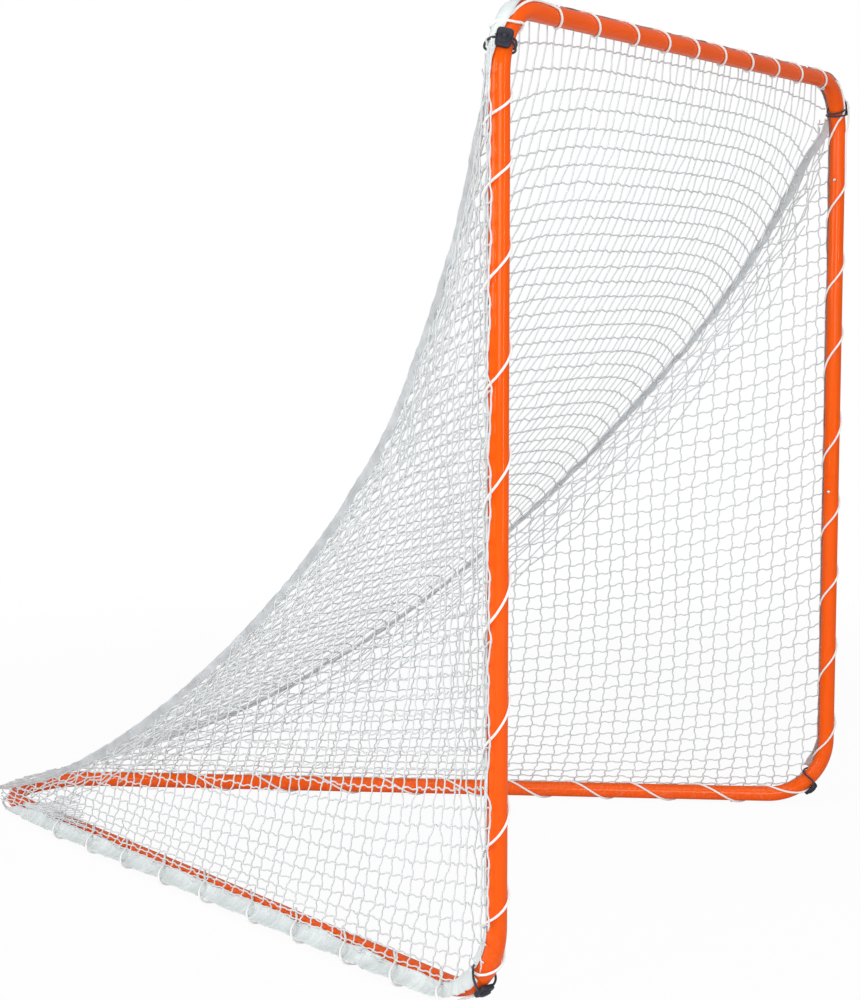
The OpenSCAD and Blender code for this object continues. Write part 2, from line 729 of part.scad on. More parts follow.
crossbar_tube();
top_corner(false);  // top_corner_left
top_corner(true);  // top_corner_right
post_tube(false);  // post_tube_left
post_tube(true);  // post_tube_right
bottom_corner(false);  // bottom_corner_left
bottom_corner(true);  // bottom_corner_right
leg_tube(false);  // leg_tube_left
leg_tube(true);  // leg_tube_right
rear_bend();
snap_springs();
on_side(false) at_bar_seam() snap_button();  // button_crossbar_left
on_side(true) at_bar_seam() snap_button();  // button_crossbar_right
on_side(false) at_post_upper_seam() snap_button();  // button_post_left_upper
on_side(true) at_post_upper_seam() snap_button();  // button_post_right_upper
on_side(false) at_post_lower_seam() snap_button();  // button_post_left_lower
on_side(true) at_post_lower_seam() snap_button();  // button_post_right_lower
on_side(false) at_leg_front_seam() snap_button();  // button_leg_left_front
on_side(true) at_leg_front_seam() snap_button();  // button_leg_right_front
on_side(false) at_leg_rear_seam() snap_button();  // button_leg_left_rear
on_side(true) at_leg_rear_seam() snap_button();  // button_leg_right_rear
net_back();
net_side(false);  // net_side_left
net_side(true);  // net_side_right
net_seam(false);  // net_seam_left
net_seam(true);  // net_seam_right
lace(bar_lace);  // lacing_crossbar
lacing_post(false);  // lacing_post_left
lacing_post(true);  // lacing_post_right
lacing_leg(false);  // lacing_leg_left
lacing_leg(true);  // lacing_leg_right
on_side(false) at_top_clip() clip();  // clip_top_left
on_side(true) at_top_clip() clip();  // clip_top_right
on_side(false) at_bottom_clip() clip();  // clip_bottom_left
on_side(true) at_bottom_clip() clip();  // clip_bottom_right
on_side(false) at_top_clip() elastic();  // elastic_top_left
on_side(true) at_top_clip() elastic();  // elastic_top_right
on_side(false) at_bottom_clip() elastic();  // elastic_bottom_left
on_side(true) at_bottom_clip() elastic();  // elastic_bottom_right
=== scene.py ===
import math
import bpy
import numpy as np
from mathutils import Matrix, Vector


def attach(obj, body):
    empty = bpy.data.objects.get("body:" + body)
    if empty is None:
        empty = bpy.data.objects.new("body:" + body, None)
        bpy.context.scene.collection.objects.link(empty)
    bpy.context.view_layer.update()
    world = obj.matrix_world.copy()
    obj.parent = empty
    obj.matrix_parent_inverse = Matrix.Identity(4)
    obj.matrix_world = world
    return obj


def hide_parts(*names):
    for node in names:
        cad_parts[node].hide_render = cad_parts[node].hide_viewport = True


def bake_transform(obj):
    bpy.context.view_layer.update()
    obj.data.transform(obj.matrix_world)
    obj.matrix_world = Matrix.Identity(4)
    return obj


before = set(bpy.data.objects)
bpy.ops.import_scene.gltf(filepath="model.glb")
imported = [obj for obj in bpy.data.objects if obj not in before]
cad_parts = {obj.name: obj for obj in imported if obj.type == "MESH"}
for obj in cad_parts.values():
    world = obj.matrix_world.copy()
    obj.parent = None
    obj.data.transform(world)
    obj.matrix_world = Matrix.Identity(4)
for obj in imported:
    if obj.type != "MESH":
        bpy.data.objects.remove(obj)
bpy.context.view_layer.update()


# ---------------------------------------------------------------- camera and studio
# The goal stands on a white sweep. The camera is outside the left post at eye height.
# Large soft panels above, in front and to the left light it, with two upright strips.
def placed(name, data):
    """An object of some data, linked into the scene."""
    made = bpy.data.objects.new(name, data)
    bpy.context.scene.collection.objects.link(made)
    return made


def feed(tree, socket, value):
    """Sets a socket to a value, or links another socket to it."""
    if isinstance(value, bpy.types.NodeSocket):
        tree.links.new(value, socket)
    else:
        socket.default_value = value


def node(tree, kind, inputs=None, **settings):
    """A shader node with its settings and its inputs, which are values or other sockets."""
    made = tree.nodes.new(kind)
    for name, value in settings.items():
        setattr(made, name, value)
    for name, value in (inputs or {}).items():
        feed(tree, made.inputs[name], value)
    return made


def maths(tree, operation, *values):
    """Values or sockets worked out by one operation."""
    return node(tree, "ShaderNodeMath", dict(enumerate(values)), operation=operation).outputs[0]


def ranged(tree, value, low, high, start=0.0, stop=1.0, **settings):
    """A value moved from the range start to stop into the range low to high."""
    return node(tree, "ShaderNodeMapRange", {"Value": value, "From Min": start, "From Max": stop,
                                             "To Min": low, "To Max": high}, **settings).outputs[0]


def mix_shader(tree, share, plain, other):
    """Two shaders mixed by a share of the other."""
    return node(tree, "ShaderNodeMixShader", {0: share, 1: plain, 2: other}).outputs[0]


camera_lens = bpy.data.cameras.new("camera")
camera_lens.sensor_width = 36
camera_lens.lens = 78.25
camera_lens.clip_end = 900
camera = placed("camera", camera_lens)
camera.location = (-4.424, -1.796, 1.378)
camera.rotation_mode = "QUATERNION"
camera.rotation_quaternion = Vector((0.8696, 0.4828, -0.1040)).to_track_quat("-Z", "Y")
bpy.context.scene.camera = camera
bpy.context.scene.view_settings.view_transform = "Standard"

world = bpy.data.worlds.new("white_sweep")
bpy.context.scene.world = world
world.use_nodes = True
tree = world.node_tree
tree.nodes.clear()
sky_light = node(tree, "ShaderNodeBackground", {"Color": (0.93, 0.96, 1, 1), "Strength": 0.36})
sky_white = node(tree, "ShaderNodeBackground", {"Color": (1, 1, 1, 1), "Strength": 1.0})
seen_directly = node(tree, "ShaderNodeLightPath").outputs["Is Camera Ray"]
node(tree, "ShaderNodeOutputWorld", {"Surface": mix_shader(
    tree, seen_directly, sky_light.outputs[0], sky_white.outputs[0])})

for name, place, aim, size, watts in (
        ("overhead_panel", (-1.5, -1.2, 5.5), (0, 0.8, 0.6), (4.5, 4.5), 95),
        ("front_panel", (-6.5, -3.6, 2.4), (0, 0.4, 0.9), (3.2, 3.2), 190),
        ("left_panel", (-5.0, 4.0, 2.6), (-0.4, 1.0, 0.4), (3.0, 3.0), 150),
        ("left_strip", (-5.2, 0.9, 1.9), (-0.5, 0.4, 1.0), (0.16, 3.2), 40),
        ("front_strip", (-1.6, -5.0, 1.8), (0, 0.3, 1.0), (0.22, 3.2), 52)):
    panel = bpy.data.lights.new(name, "AREA")
    panel.shape = "RECTANGLE"
    panel.size, panel.size_y = size
    panel.energy = watts
    lamp = placed(name, panel)
    lamp.location = place
    lamp.rotation_mode = "QUATERNION"
    lamp.rotation_quaternion = (Vector(aim) - Vector(place)).to_track_quat("-Z", "Y")

floor_data = bpy.data.meshes.new("floor")
reach = 400
floor_data.from_pydata([(-reach, -reach, 0), (reach, -reach, 0), (reach, reach, 0),
                        (-reach, reach, 0)], [], [(0, 1, 2, 3)])
floor = placed("floor", floor_data)
floor.location.z = -0.0005
floor_white = bpy.data.materials.new("floor_white")
floor_white.use_nodes = True
tree = floor_white.node_tree
tree.nodes.clear()
matt = node(tree, "ShaderNodeBsdfDiffuse", {"Color": (0.80, 0.80, 0.80, 1)})
glow = node(tree, "ShaderNodeEmission", {"Color": (1, 1, 1, 1), "Strength": 1.0})
far = node(tree, "ShaderNodeVectorMath",
           {0: node(tree, "ShaderNodeTexCoord").outputs["Object"]}, operation="LENGTH")
glow_share = ranged(tree, far.outputs["Value"], 0.95, 1.0, 2.2, 5.5,
                    interpolation_type="SMOOTHSTEP")
seen_directly = node(tree, "ShaderNodeLightPath").outputs["Is Camera Ray"]
share = maths(tree, "MULTIPLY", seen_directly, glow_share)
node(tree, "ShaderNodeOutputMaterial", {"Surface": mix_shader(
    tree, share, matt.outputs[0], glow.outputs[0])})
floor_data.materials.append(floor_white)


# ---------------------------------------------------------------- steel tube frame
# Round steel tube in sections with swaged ends, powder-coated gloss orange.
# The coat has a fine orange-peel skin, handling marks and dust near the ground.
tube_r = 0.01905
half_w = 0.93355
leg_z = 0.0240585
bar_z = 1.8530585
top_bend = 0.125
foot_bend = 0.150
rear_bend = 0.176
rear_centre_y = 1.69487
leg_end = 1.92694
foot = np.array([-half_w, 0, leg_z])
leg_dir = np.array([0.400792, 0.916169, 0])
leg_out = np.array([-0.916169, 0.400792, 0])
up = np.array([0.0, 0, 1])


def new_group(name, inputs, outputs):
    """An empty shader node group; inputs are (name, kind, value), outputs (name, kind)."""
    group = bpy.data.node_groups.new(name, "ShaderNodeTree")
    for label, kind, value in inputs:
        socket = group.interface.new_socket(label, in_out="INPUT", socket_type=kind)
        socket.default_value = value
    for label, kind in outputs:
        group.interface.new_socket(label, in_out="OUTPUT", socket_type=kind)
    return group, group.nodes.new("NodeGroupInput").outputs, group.nodes.new("NodeGroupOutput")


def noise(tree, where, scale, detail=2.0):
    """Soft random values from 0 to 1."""
    return node(tree, "ShaderNodeTexNoise", {"Vector": where, "Scale": scale,
                                             "Detail": detail}).outputs["Fac"]


def curve_of(tree, value, low, high):
    """A value spread smoothly from 0 at low to 1 at high."""
    return ranged(tree, value, 0.0, 1.0, low, high, interpolation_type="SMOOTHSTEP")


def mixed(tree, share, plain, other):
    """One colour changed into another by a share."""
    return node(tree, "ShaderNodeMix", {"Factor": share, "A": plain, "B": other},
                data_type="RGBA").outputs["Result"]


def bumped(tree, height, strength, distance):
    """A surface direction tilted by a height."""
    return node(tree, "ShaderNodeBump", {"Height": height, "Strength": strength,
                                         "Distance": distance}).outputs[0]


# Shared effect: cloudy tint, which darkens and lightens a colour in soft patches
tint, given, result = new_group("cloudy_tint", [
    ("Color", "NodeSocketColor", (0.8, 0.8, 0.8, 1)), ("Scale", "NodeSocketFloat", 8.0),
    ("Amount", "NodeSocketFloat", 0.1)],
    [("Color", "NodeSocketColor"), ("Cloud", "NodeSocketFloat")])
place = node(tint, "ShaderNodeTexCoord").outputs["Object"]
cloud = noise(tint, place, given["Scale"], 5.0)
swing = ranged(tint, cloud, -1.0, 1.0, 0.3, 0.7)
bright = maths(tint, "ADD", maths(tint, "MULTIPLY", swing, given["Amount"]), 1.0)
toned = node(tint, "ShaderNodeHueSaturation", {"Value": bright, "Color": given["Color"]})
tint.links.new(toned.outputs[0], result.inputs["Color"])
tint.links.new(cloud, result.inputs["Cloud"])

# Shared effect: marks, which are fine scratches and rubbed patches as a mask
marks, given, result = new_group("handling_marks", [
    ("Scale", "NodeSocketFloat", 14.0), ("Cover", "NodeSocketFloat", 0.5)],
    [("Mask", "NodeSocketFloat")])
place = node(marks, "ShaderNodeTexCoord").outputs["Object"]
patch = noise(marks, place, given["Scale"], 3.0)
warp = node(marks, "ShaderNodeTexNoise", {"Vector": place, "Scale": 60.0, "Detail": 2.0})
bent = node(marks, "ShaderNodeVectorMath", {0: place, 1: warp.outputs["Color"]}, operation="ADD")
lines = node(marks, "ShaderNodeTexVoronoi", {"Vector": bent.outputs[0], "Scale": 26.0},
             feature="DISTANCE_TO_EDGE")
thin = ranged(marks, lines.outputs["Distance"], 1.0, 0.0, 0.0, 0.012)
where = ranged(marks, patch, 0.0, 1.0, given["Cover"], 0.75)
marks.links.new(maths(marks, "MULTIPLY", thin, where), result.inputs["Mask"])


def new_material(name):
    """A material with its tree, its Principled shader and its object-space places."""
    material = bpy.data.materials.new(name)
    material.use_nodes = True
    tree = material.node_tree
    tree.nodes.clear()
    shader = node(tree, "ShaderNodeBsdfPrincipled")
    node(tree, "ShaderNodeOutputMaterial", {"Surface": shader.outputs[0]})
    return material, tree, shader, node(tree, "ShaderNodeTexCoord").outputs


def grouped(tree, group, **inputs):
    """A shader node group placed in a material with its own values."""
    made = tree.nodes.new("ShaderNodeGroup")
    made.node_tree = group
    for name, value in inputs.items():
        feed(tree, made.inputs[name], value)
    return made.outputs


def join(tree, shader, **inputs):
    """Sets or links a shader's sockets, with _ for the spaces in their names."""
    for name, value in inputs.items():
        feed(tree, shader.inputs[name.replace("_", " ")], value)


def coat(piece, material):
    """Gives a material to every slot of a piece, and leaves its mesh alone."""
    for held in piece.material_slots:
        held.link = "OBJECT"
        held.material = material


orange_coat, tree, shader, coords = new_material("orange_powder_coat")
base = grouped(tree, tint, Color=(0.86, 0.098, 0.002, 1), Scale=5.0, Amount=0.05)
height = node(tree, "ShaderNodeSeparateXYZ", {0: coords["Object"]}).outputs["Z"]
low_down = ranged(tree, height, 1.0, 0.0, 0.0, 0.22)
speck = curve_of(tree, noise(tree, coords["Object"], 130.0, 6.0), 0.46, 0.7)
dust = maths(tree, "MULTIPLY", maths(tree, "MULTIPLY", speck, low_down), 0.16)
dull = mixed(tree, dust, base["Color"], (0.60, 0.42, 0.30, 1))
rubbed = grouped(tree, marks, Scale=9.0, Cover=0.55)
scratched = maths(tree, "MULTIPLY", rubbed["Mask"], 0.22)
worn = mixed(tree, scratched, dull, (0.95, 0.30, 0.10, 1))
rough = maths(tree, "ADD", ranged(tree, base["Cloud"], 0.17, 0.27, 0.3, 0.7), scratched)
peel = bumped(tree, noise(tree, coords["Object"], 520.0), 0.10, 0.0004)
join(tree, shader, Base_Color=worn, Roughness=rough, Normal=peel, Coat_Weight=0.3,
     Coat_Roughness=0.07, Specular_IOR_Level=0.03)

for name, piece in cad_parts.items():
    if "_tube" in name or "_corner" in name or name == "rear_bend":
        coat(piece, orange_coat)


# ---------------------------------------------------------------- snap buttons and springs
# Each joint locks with a nickel-plated button riveted to a spring-steel strip that
# is folded to a V inside the swaged end.
nickel, tree, shader, coords = new_material("nickel_button")
rubbed = grouped(tree, marks, Scale=120.0, Cover=0.35)
cloud = grouped(tree, tint, Color=(0.74, 0.73, 0.71, 1), Scale=90.0, Amount=0.06)
rough = maths(tree, "ADD", ranged(tree, cloud["Cloud"], 0.16, 0.34), rubbed["Mask"])
turned = bumped(tree, noise(tree, coords["Object"], 1500.0), 0.08, 0.0001)
join(tree, shader, Base_Color=cloud["Color"], Metallic=1.0, Roughness=rough, Normal=turned)

spring_steel, tree, shader, coords = new_material("blued_spring_steel")
cloud = grouped(tree, tint, Color=(0.30, 0.31, 0.34, 1), Scale=60.0, Amount=0.12)
grain = noise(tree, coords["Object"], 900.0, 4.0)
join(tree, shader, Base_Color=cloud["Color"], Metallic=1.0,
     Roughness=ranged(tree, grain, 0.28, 0.5), Normal=bumped(tree, grain, 0.15, 0.0002))

for name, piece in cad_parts.items():
    if name.startswith("button_"):
        coat(piece, nickel)
    elif name == "snap_springs":
        coat(piece, spring_steel)


# ---------------------------------------------------------------- net twine
# Square-mesh netting of white braided polyester twine, 38 mm between knots, in a
# back panel and two side panels. It hangs from the bands that the lacing holds.
mesh_size = 0.038
twine_r = 0.00165
net_off = 0.0271
back_top = np.array([0.026952, 1.855891])
back_mid = np.array([0.180430, 0.395638])
back_end = np.array([1.876273, 0.050614])
sag_weight = 0.55
ridge_top_half = 0.8575
ridge_spread = 0.75
front_out = np.array([-0.736064, 0.676912, 0])
side_tilt = math.radians(9.5)
rear_out = leg_out * math.cos(side_tilt) + up * math.sin(side_tilt)


def unit(directions):
    """Directions made one long."""
    return directions / (np.linalg.norm(directions, axis=-1, keepdims=True) + 1e-12)


def run_along(points):
    """How far along a line each of its points is."""
    return np.concatenate([[0], np.cumsum(np.linalg.norm(np.diff(points, axis=0), axis=1))])


share = np.linspace(0, 1, 600)[:, None]
weights = ((1 - share) ** 2, 2 * share * (1 - share) * sag_weight, share ** 2)
back_line = ((back_top * weights[0] + back_mid * weights[1] + back_end * weights[2])
             / (weights[0] + weights[1] + weights[2]))
back_run = run_along(back_line)
back_length = back_run[-1]


def back_yz(d):
    """Place in the YZ plane of the back panel, d along it from the crossbar."""
    d = np.asarray(d, float)
    y = np.interp(d, back_run, back_line[:, 0])
    z = np.interp(d, back_run, back_line[:, 1])
    over, under = np.minimum(d, 0), np.maximum(d - back_length, 0)
    first = (back_line[1] - back_line[0]) / (back_run[1] - back_run[0])
    last = (back_line[-1] - back_line[-2]) / (back_run[-1] - back_run[-2])
    return y + over * first[0] + under * last[0], z + over * first[1] + under * last[1]


def back_out(d, step):
    """Outward directions of the back panel, from places a step apart."""
    (y, z), (y2, z2) = back_yz(d), back_yz(d + step)
    return unit(np.stack([0 * y, -(z2 - z), y2 - y], -1))


# The taut ridges draw the panels in near the top and let them out half way down
pull_heights = [0.0, 0.3, 0.5, 0.7, 0.85, 0.95, 1.1, 1.2, 1.3, 1.42, 1.55, 1.65, 1.75, 1.85]
pull_inwards = [0.0, 0.004, 0.012, 0.015, 0.004, -0.014, -0.020, -0.010, 0.005, 0.024, 0.032,
                0.032, 0.026, 0.0]


def side_x(y, z):
    """How far across the left side panel is at a depth and height."""
    front = -half_w + (net_off - y * front_out[1]) / front_out[0]
    rear = -half_w + (net_off - y * rear_out[1] - (z - leg_z) * rear_out[2]) / rear_out[0]
    soft = 0.004 + 0.05 * np.clip((z - 0.05) / 0.4, 0, 1)
    near = np.clip(soft - np.abs(front - rear), 0, None) / soft
    to_back = np.interp(-np.asarray(z, float), -back_line[:, 1], back_line[:, 0])
    drawn = np.clip(y / to_back, 0, 1) ** 2 * np.interp(z, pull_heights, pull_inwards)
    return np.minimum(front, rear) - near ** 2 * soft / 4 + drawn


def on_side(y, z, lift):
    """Points on the left side panel, lifted off it, and its outward directions."""
    x = side_x(y, z)
    step = 0.004
    out = unit(np.stack([-np.ones_like(x), (side_x(y + step, z) - x) / step,
                         (side_x(y, z + step) - x) / step], -1))
    return np.stack([x, y, z], -1) + out * np.asarray(lift).reshape(-1, 1), out


def corner_pull(d):
    """How far forward the corner clips draw the top of each ridge."""
    return 0.022 * np.exp(-((d - 0.12) / 0.07) ** 2)


def ridge_half(d):
    """Half width of the back panel where the side panels meet it."""
    y, z = back_yz(d)
    return np.minimum(-side_x(y, z), ridge_top_half + np.maximum(d, 0) * ridge_spread)


def between_rings(count, sides):
    """The quads that join a row of rings, with the ring and the side of each quad."""
    i, j = np.meshgrid(np.arange(count - 1), np.arange(sides), indexing="ij")
    k = (j + 1) % sides
    return np.stack([i * sides + j, i * sides + k, (i + 1) * sides + k, (i + 1) * sides + j],
                    -1).reshape(-1, 4), i, j


def tube_along(lines, name, sides):
    """One mesh of closed round tubes; each line is (points, radii, outward directions)."""
    places, faces, along, round_it, ends = [], [], [], [], []
    turn = np.arange(sides) * 2 * math.pi / sides
    start = 0
    for points, radii, outward in lines:
        points = np.asarray(points, float)
        count = len(points)
        tangent = unit(np.gradient(points, axis=0))
        across = unit(np.cross(tangent, outward))
        rise = np.cross(across, tangent)
        radii = np.broadcast_to(radii, (count,))
        ring = (points[:, None, :] + radii[:, None, None]
                * (rise[:, None, :] * np.cos(turn)[None, :, None]
                   + across[:, None, :] * np.sin(turn)[None, :, None]))
        places.append(ring.reshape(-1, 3))
        run = run_along(points)
        quads, i, j = between_rings(count, sides)
        faces.append(start + quads)
        along.append(np.stack([run[i], run[i], run[i + 1], run[i + 1]], -1).reshape(-1))
        round_it.append((np.stack([j, j + 1, j + 1, j], -1) / sides).reshape(-1))
        ends.append(np.arange(sides)[::-1] + start)
        start += count * sides
        ends.append(np.arange(sides) + start - sides)
    quads = np.concatenate(faces)
    made = bpy.data.meshes.new(name)
    made.vertices.add(start)
    made.vertices.foreach_set("co", np.concatenate(places).astype(np.float32).ravel())
    corners = np.concatenate([quads.ravel(), np.concatenate(ends)])
    made.loops.add(len(corners))
    made.loops.foreach_set("vertex_index", corners.astype(np.int32))
    sizes = np.concatenate([np.full(len(quads), 4), np.full(len(ends), sides)])
    made.polygons.add(len(sizes))
    made.polygons.foreach_set("loop_start",
                              np.concatenate([[0], np.cumsum(sizes)[:-1]]).astype(np.int32))
    made.update(calc_edges=True)
    made.validate()
    lay = made.uv_layers.new(name="along_round")
    uv = np.zeros((len(corners), 2), np.float32)
    uv[:len(quads) * 4, 0] = np.concatenate(along)
    uv[:len(quads) * 4, 1] = np.concatenate(round_it)
    lay.data.foreach_set("uv", uv.ravel())
    made.polygons.foreach_set("use_smooth", np.ones(len(made.polygons), bool))
    return placed(name, made)


# Shared effect: braid, the crossing plies of a cord, from its own length and girth
braid, given, result = new_group("braided_plies", [
    ("Plies per metre", "NodeSocketFloat", 400.0), ("Plies round", "NodeSocketFloat", 3.0)],
    [("Height", "NodeSocketFloat"), ("Groove", "NodeSocketFloat")])
both_ways = node(braid, "ShaderNodeSeparateXYZ",
                 {0: node(braid, "ShaderNodeTexCoord").outputs["UV"]})
plies_along = maths(braid, "MULTIPLY", both_ways.outputs["X"], given["Plies per metre"])
plies_round = maths(braid, "MULTIPLY", both_ways.outputs["Y"], given["Plies round"])
waves = [maths(braid, "SINE", maths(braid, "MULTIPLY", maths(braid, way, plies_along, plies_round),
                                    2 * math.pi)) for way in ("ADD", "SUBTRACT")]
crossed = maths(braid, "MAXIMUM", *waves)
braid.links.new(crossed, result.inputs["Height"])
braid.links.new(ranged(braid, crossed, 1.0, 0.0, -0.6, 0.3), result.inputs["Groove"])


def braided(name, colour, cloud_scale, cloud_amount, plies, groove_share, groove_colour, bump, rough,
            **more):
    """A braided cord's material: cloudy, with the grooves between its plies mixed toward a groove
    colour, which is painted shade where that colour is darker, as on the white twine and cord.
    plies is how many per metre and round it, groove_share how much of the groove colour is mixed
    in, bump a strength and depth."""
    cord, tree, shader, coords = new_material(name)
    cloud = grouped(tree, tint, Color=colour, Scale=cloud_scale, Amount=cloud_amount)
    ply = grouped(tree, braid, **{"Plies per metre": plies[0], "Plies round": plies[1]})
    # Painted shade: the grooves between the plies are mixed toward the groove colour
    shade = maths(tree, "MULTIPLY", ply["Groove"], groove_share)
    join(tree, shader, Base_Color=mixed(tree, shade, cloud["Color"], groove_colour),
         Roughness=ranged(tree, cloud["Cloud"], *rough),
         Normal=bumped(tree, ply["Height"], *bump), **more)
    return cord


# The darker groove colour is painted shade between the twine's plies.
white_twine = braided("white_polyester_twine", (0.66, 0.68, 0.685, 1), 3.0, 0.06, (260.0, 2.0),
                      0.35, (0.42, 0.44, 0.45, 1), (0.35, 0.0003), (0.55, 0.75),
                      Sheen_Weight=0.15)

# Where the rings of a strand are in each cell of the mesh, and how thick it is there
in_cell = np.array([0, 0.1, 0.37, 0.63, 0.9])
in_cell_r = np.array([1.5, 1.12, 1.0, 1.0, 1.12])


def index_line(first, last):
    """Lattice coordinates of the rings of a strand between two lattice places."""
    cells = np.arange(math.floor(first), math.ceil(last))
    every = (cells[:, None] + in_cell[None, :]).ravel()
    radii = np.tile(in_cell_r, len(cells))
    keep = (every > first + 0.04) & (every < last - 0.04)
    return (np.concatenate([[first], every[keep], [last]]),
            np.concatenate([[1.0], radii[keep], [1.0]]) * twine_r)


def between_knots(field, i, j):
    """A field given at the knots, eased between them."""
    i0 = np.clip(np.floor(i).astype(int), 0, field.shape[0] - 2)
    j0 = np.clip(np.floor(j).astype(int), 0, field.shape[1] - 2)
    fi, fj = i - i0, j - j0
    fi, fj = fi * fi * (3 - 2 * fi), fj * fj * (3 - 2 * fj)
    return ((field[i0, j0] * (1 - fi) + field[i0 + 1, j0] * fi) * (1 - fj)
            + (field[i0, j0 + 1] * (1 - fi) + field[i0 + 1, j0 + 1] * fi) * fj)


# Back panel: columns run straight down from the crossbar, rows droop at the ridges
half_cells = 25
back_rows = 73
row_droop = 0.10
back_dice = np.random.default_rng(11)
stray_x, stray_d, stray_n = (back_dice.normal(0, 1, (2 * half_cells + 2, 90)) for _ in range(3))


def back_point(k, j, slip_x, slip_d):
    """A place on the back panel: k columns from the middle, j rows from the crossbar."""
    x = k * mesh_size + slip_x
    d = j * mesh_size
    wide = np.clip(np.abs(x) / ridge_half(d), 0, 1)
    droop = (row_droop * wide ** 4 * np.clip(d / 0.12, 0, 1)
             * np.clip((back_length - d) / 0.5, 0, 1))
    i = k + half_cells
    x = x + 0.0007 * between_knots(stray_x, i, j)
    d = d + droop + slip_d + 0.0010 * between_knots(stray_d, i, j)
    y, z = back_yz(d)
    out = back_out(d, 0.01)
    lift = 0.0015 * between_knots(stray_n, i, j)
    y = y - corner_pull(d) * wide ** 6
    return np.stack([x, y, z], -1) + out * lift[:, None], out, d


rear_round = rear_bend + net_off - 0.004


def within_back(points, d):
    """True where a place is between the ridges and short of the rear bend."""
    rear_edge = rear_centre_y + np.sqrt(np.clip(rear_round ** 2 - points[:, 0] ** 2, 0, None))
    return (np.abs(points[:, 0]) < ridge_half(d)) & (points[:, 1] < rear_edge)


def bow(at, line, size):
    """How far a strand bows between its knots, with the next strand bowing the other way."""
    return size * np.sin(2 * math.pi * at) * (1 if line % 2 else -1)


back_strands = []
fine = 1500
for k in range(-half_cells, half_cells + 1):
    every = np.linspace(0, back_rows, fine)
    points, out, d = back_point(np.full(fine, float(k)), every, 0.0, 0.0)
    inside = within_back(points, d)
    if inside[:3].any():
        last = every[inside].max() if inside.all() else every[np.argmin(inside)] - 0.05
        if last > 0.3:
            j, radii = index_line(-0.12, last)
            points, out, d = back_point(np.full(len(j), float(k)), j, bow(j, k, 0.0009), 0.0)
            back_strands.append((points, radii, out))
for j in range(0, back_rows):
    every = np.linspace(-half_cells + 0.5, half_cells - 0.5, fine)
    points, out, d = back_point(every, np.full(fine, float(j)), 0.0, 0.0)
    inside = within_back(points, d)
    if inside.sum() > 20:
        k, radii = index_line(every[inside].min(), every[inside].max())
        points, out, d = back_point(k, np.full(len(k), float(j)), 0.0, bow(k, j, 0.0016))
        back_strands.append((points, radii, out))
net_back = tube_along(back_strands, "net_back_twine", 5)
net_back.data.materials.append(white_twine)
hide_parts("net_back")
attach(net_back, "goal")

# Side panels: the ridge pulls the mesh askew, so its rows fall away from the post
# and its columns lean towards it
row_fall = math.tan(math.radians(17))
column_lean = math.tan(math.radians(15))
side_low = 0.030
corner_at = foot + (leg_dir + up) * foot_bend


def side_point(i, j, slip_i, slip_j, strays):
    """A place on the left side panel: i columns from the post, j rows from the leg."""
    a = i * mesh_size + slip_i
    b = (j - 1.1 * (1 - np.exp(-np.maximum(j, 0) / 2.2))) * mesh_size + slip_j
    aa, bb = np.maximum(a, 0), np.maximum(b, 0)
    y = 0.9 * (a - column_lean * aa * bb / (aa + 0.6 * bb + 0.1))
    z = side_low + b - row_fall * aa * bb / (bb + 0.4 * aa + 0.06)
    y = y + 0.0010 * between_knots(strays[0], i + 1, j + 1)
    z = z + 0.0010 * between_knots(strays[1], i + 1, j + 1) * np.clip(bb / 0.05, 0, 1)
    points, out = on_side(y, z, 0.0022 * between_knots(strays[2], i + 1, j + 1))
    return points, out, y, z


def side_strand(line, at, slip, upright, strays):
    """Places at some knots of one strand of the left side panel, upright or level."""
    held_at = np.full(len(at), float(line))
    if upright:
        return side_point(held_at, at, slip, 0.0, strays)
    return side_point(at, held_at, 0.0, slip, strays)


def within_side(points, y, z):
    """True where a place is below the ridge and inside the corners of the frame."""
    along = (np.abs(points[:, 0]) - half_w) * -leg_dir[0] + y * leg_dir[1] - foot_bend
    down = z - corner_at[2]
    in_bend = (along > 0) | (down > 0) | (np.hypot(along, down) < foot_bend + 0.006)
    return (z < np.interp(y, back_line[:, 0], back_line[:, 1])) & (z < 1.79) & (y < 1.84) & in_bend


def stretches(inside):
    """The runs of True in a row, each as its first and last index."""
    edges = np.flatnonzero(np.diff(np.concatenate([[0], inside.astype(int), [0]])))
    return [(a, b - 1) for a, b in zip(edges[::2], edges[1::2]) if b - a > 24]


def drawn_in(dice, fan):
    """Strands that the ridge tape gathers in beside the plain mesh, and, where fan is set,
    those that the rear bend gathers from the leg."""
    made = []
    for below, d0, d1 in ((0.018, 0.10, 2.60), (0.026, 0.06, 2.55), (0.034, 0.08, 2.52),
                          (0.046, 0.12, 2.50), (0.058, 0.16, 2.40), (0.070, 0.20, 2.30),
                          (0.090, 0.28, 2.10), (0.118, 0.34, 1.90)):
        count = int((d1 - d0) / 0.018)
        d = np.linspace(d0, d1, count)
        y, z = back_yz(d)
        y2, z2 = back_yz(d + 0.01)
        steep = np.hypot(y2 - y, z2 - z)
        drop = below + 0.006 * np.interp(np.arange(count), np.arange(0, count + 3, 3),
                                         dice.normal(0, 1, len(np.arange(0, count + 3, 3))))
        drop = np.minimum(drop, np.maximum(z - 0.05, 0.004))
        y, z = y - drop * np.abs(z2 - z) / steep * 0.3, z - drop
        points, out = on_side(y, z, dice.normal(0, 0.0018, count))
        keep = (y > 0.012) & (z > 0.034)
        if keep.sum() > 8:
            made.append((points[keep], np.full(keep.sum(), twine_r), out[keep]))
    for k in range(15):
        f = k / 14
        count = 26
        t = np.linspace(0, 1, count)
        end_y, end_z = 1.42 + 0.06 * f, 0.045 + 0.075 * f
        y = 1.72 + (end_y - 1.72) * t
        z = 0.040 + (end_z - 0.040) * (0.35 * t + 0.65 * t * t) + 0.006 * (f - 0.4) * (1 - t)
        points, out = on_side(y, z, dice.normal(0, 0.0015, count))
        if fan:
            made.append((points, np.full(count, twine_r * 0.8), out))
    return made


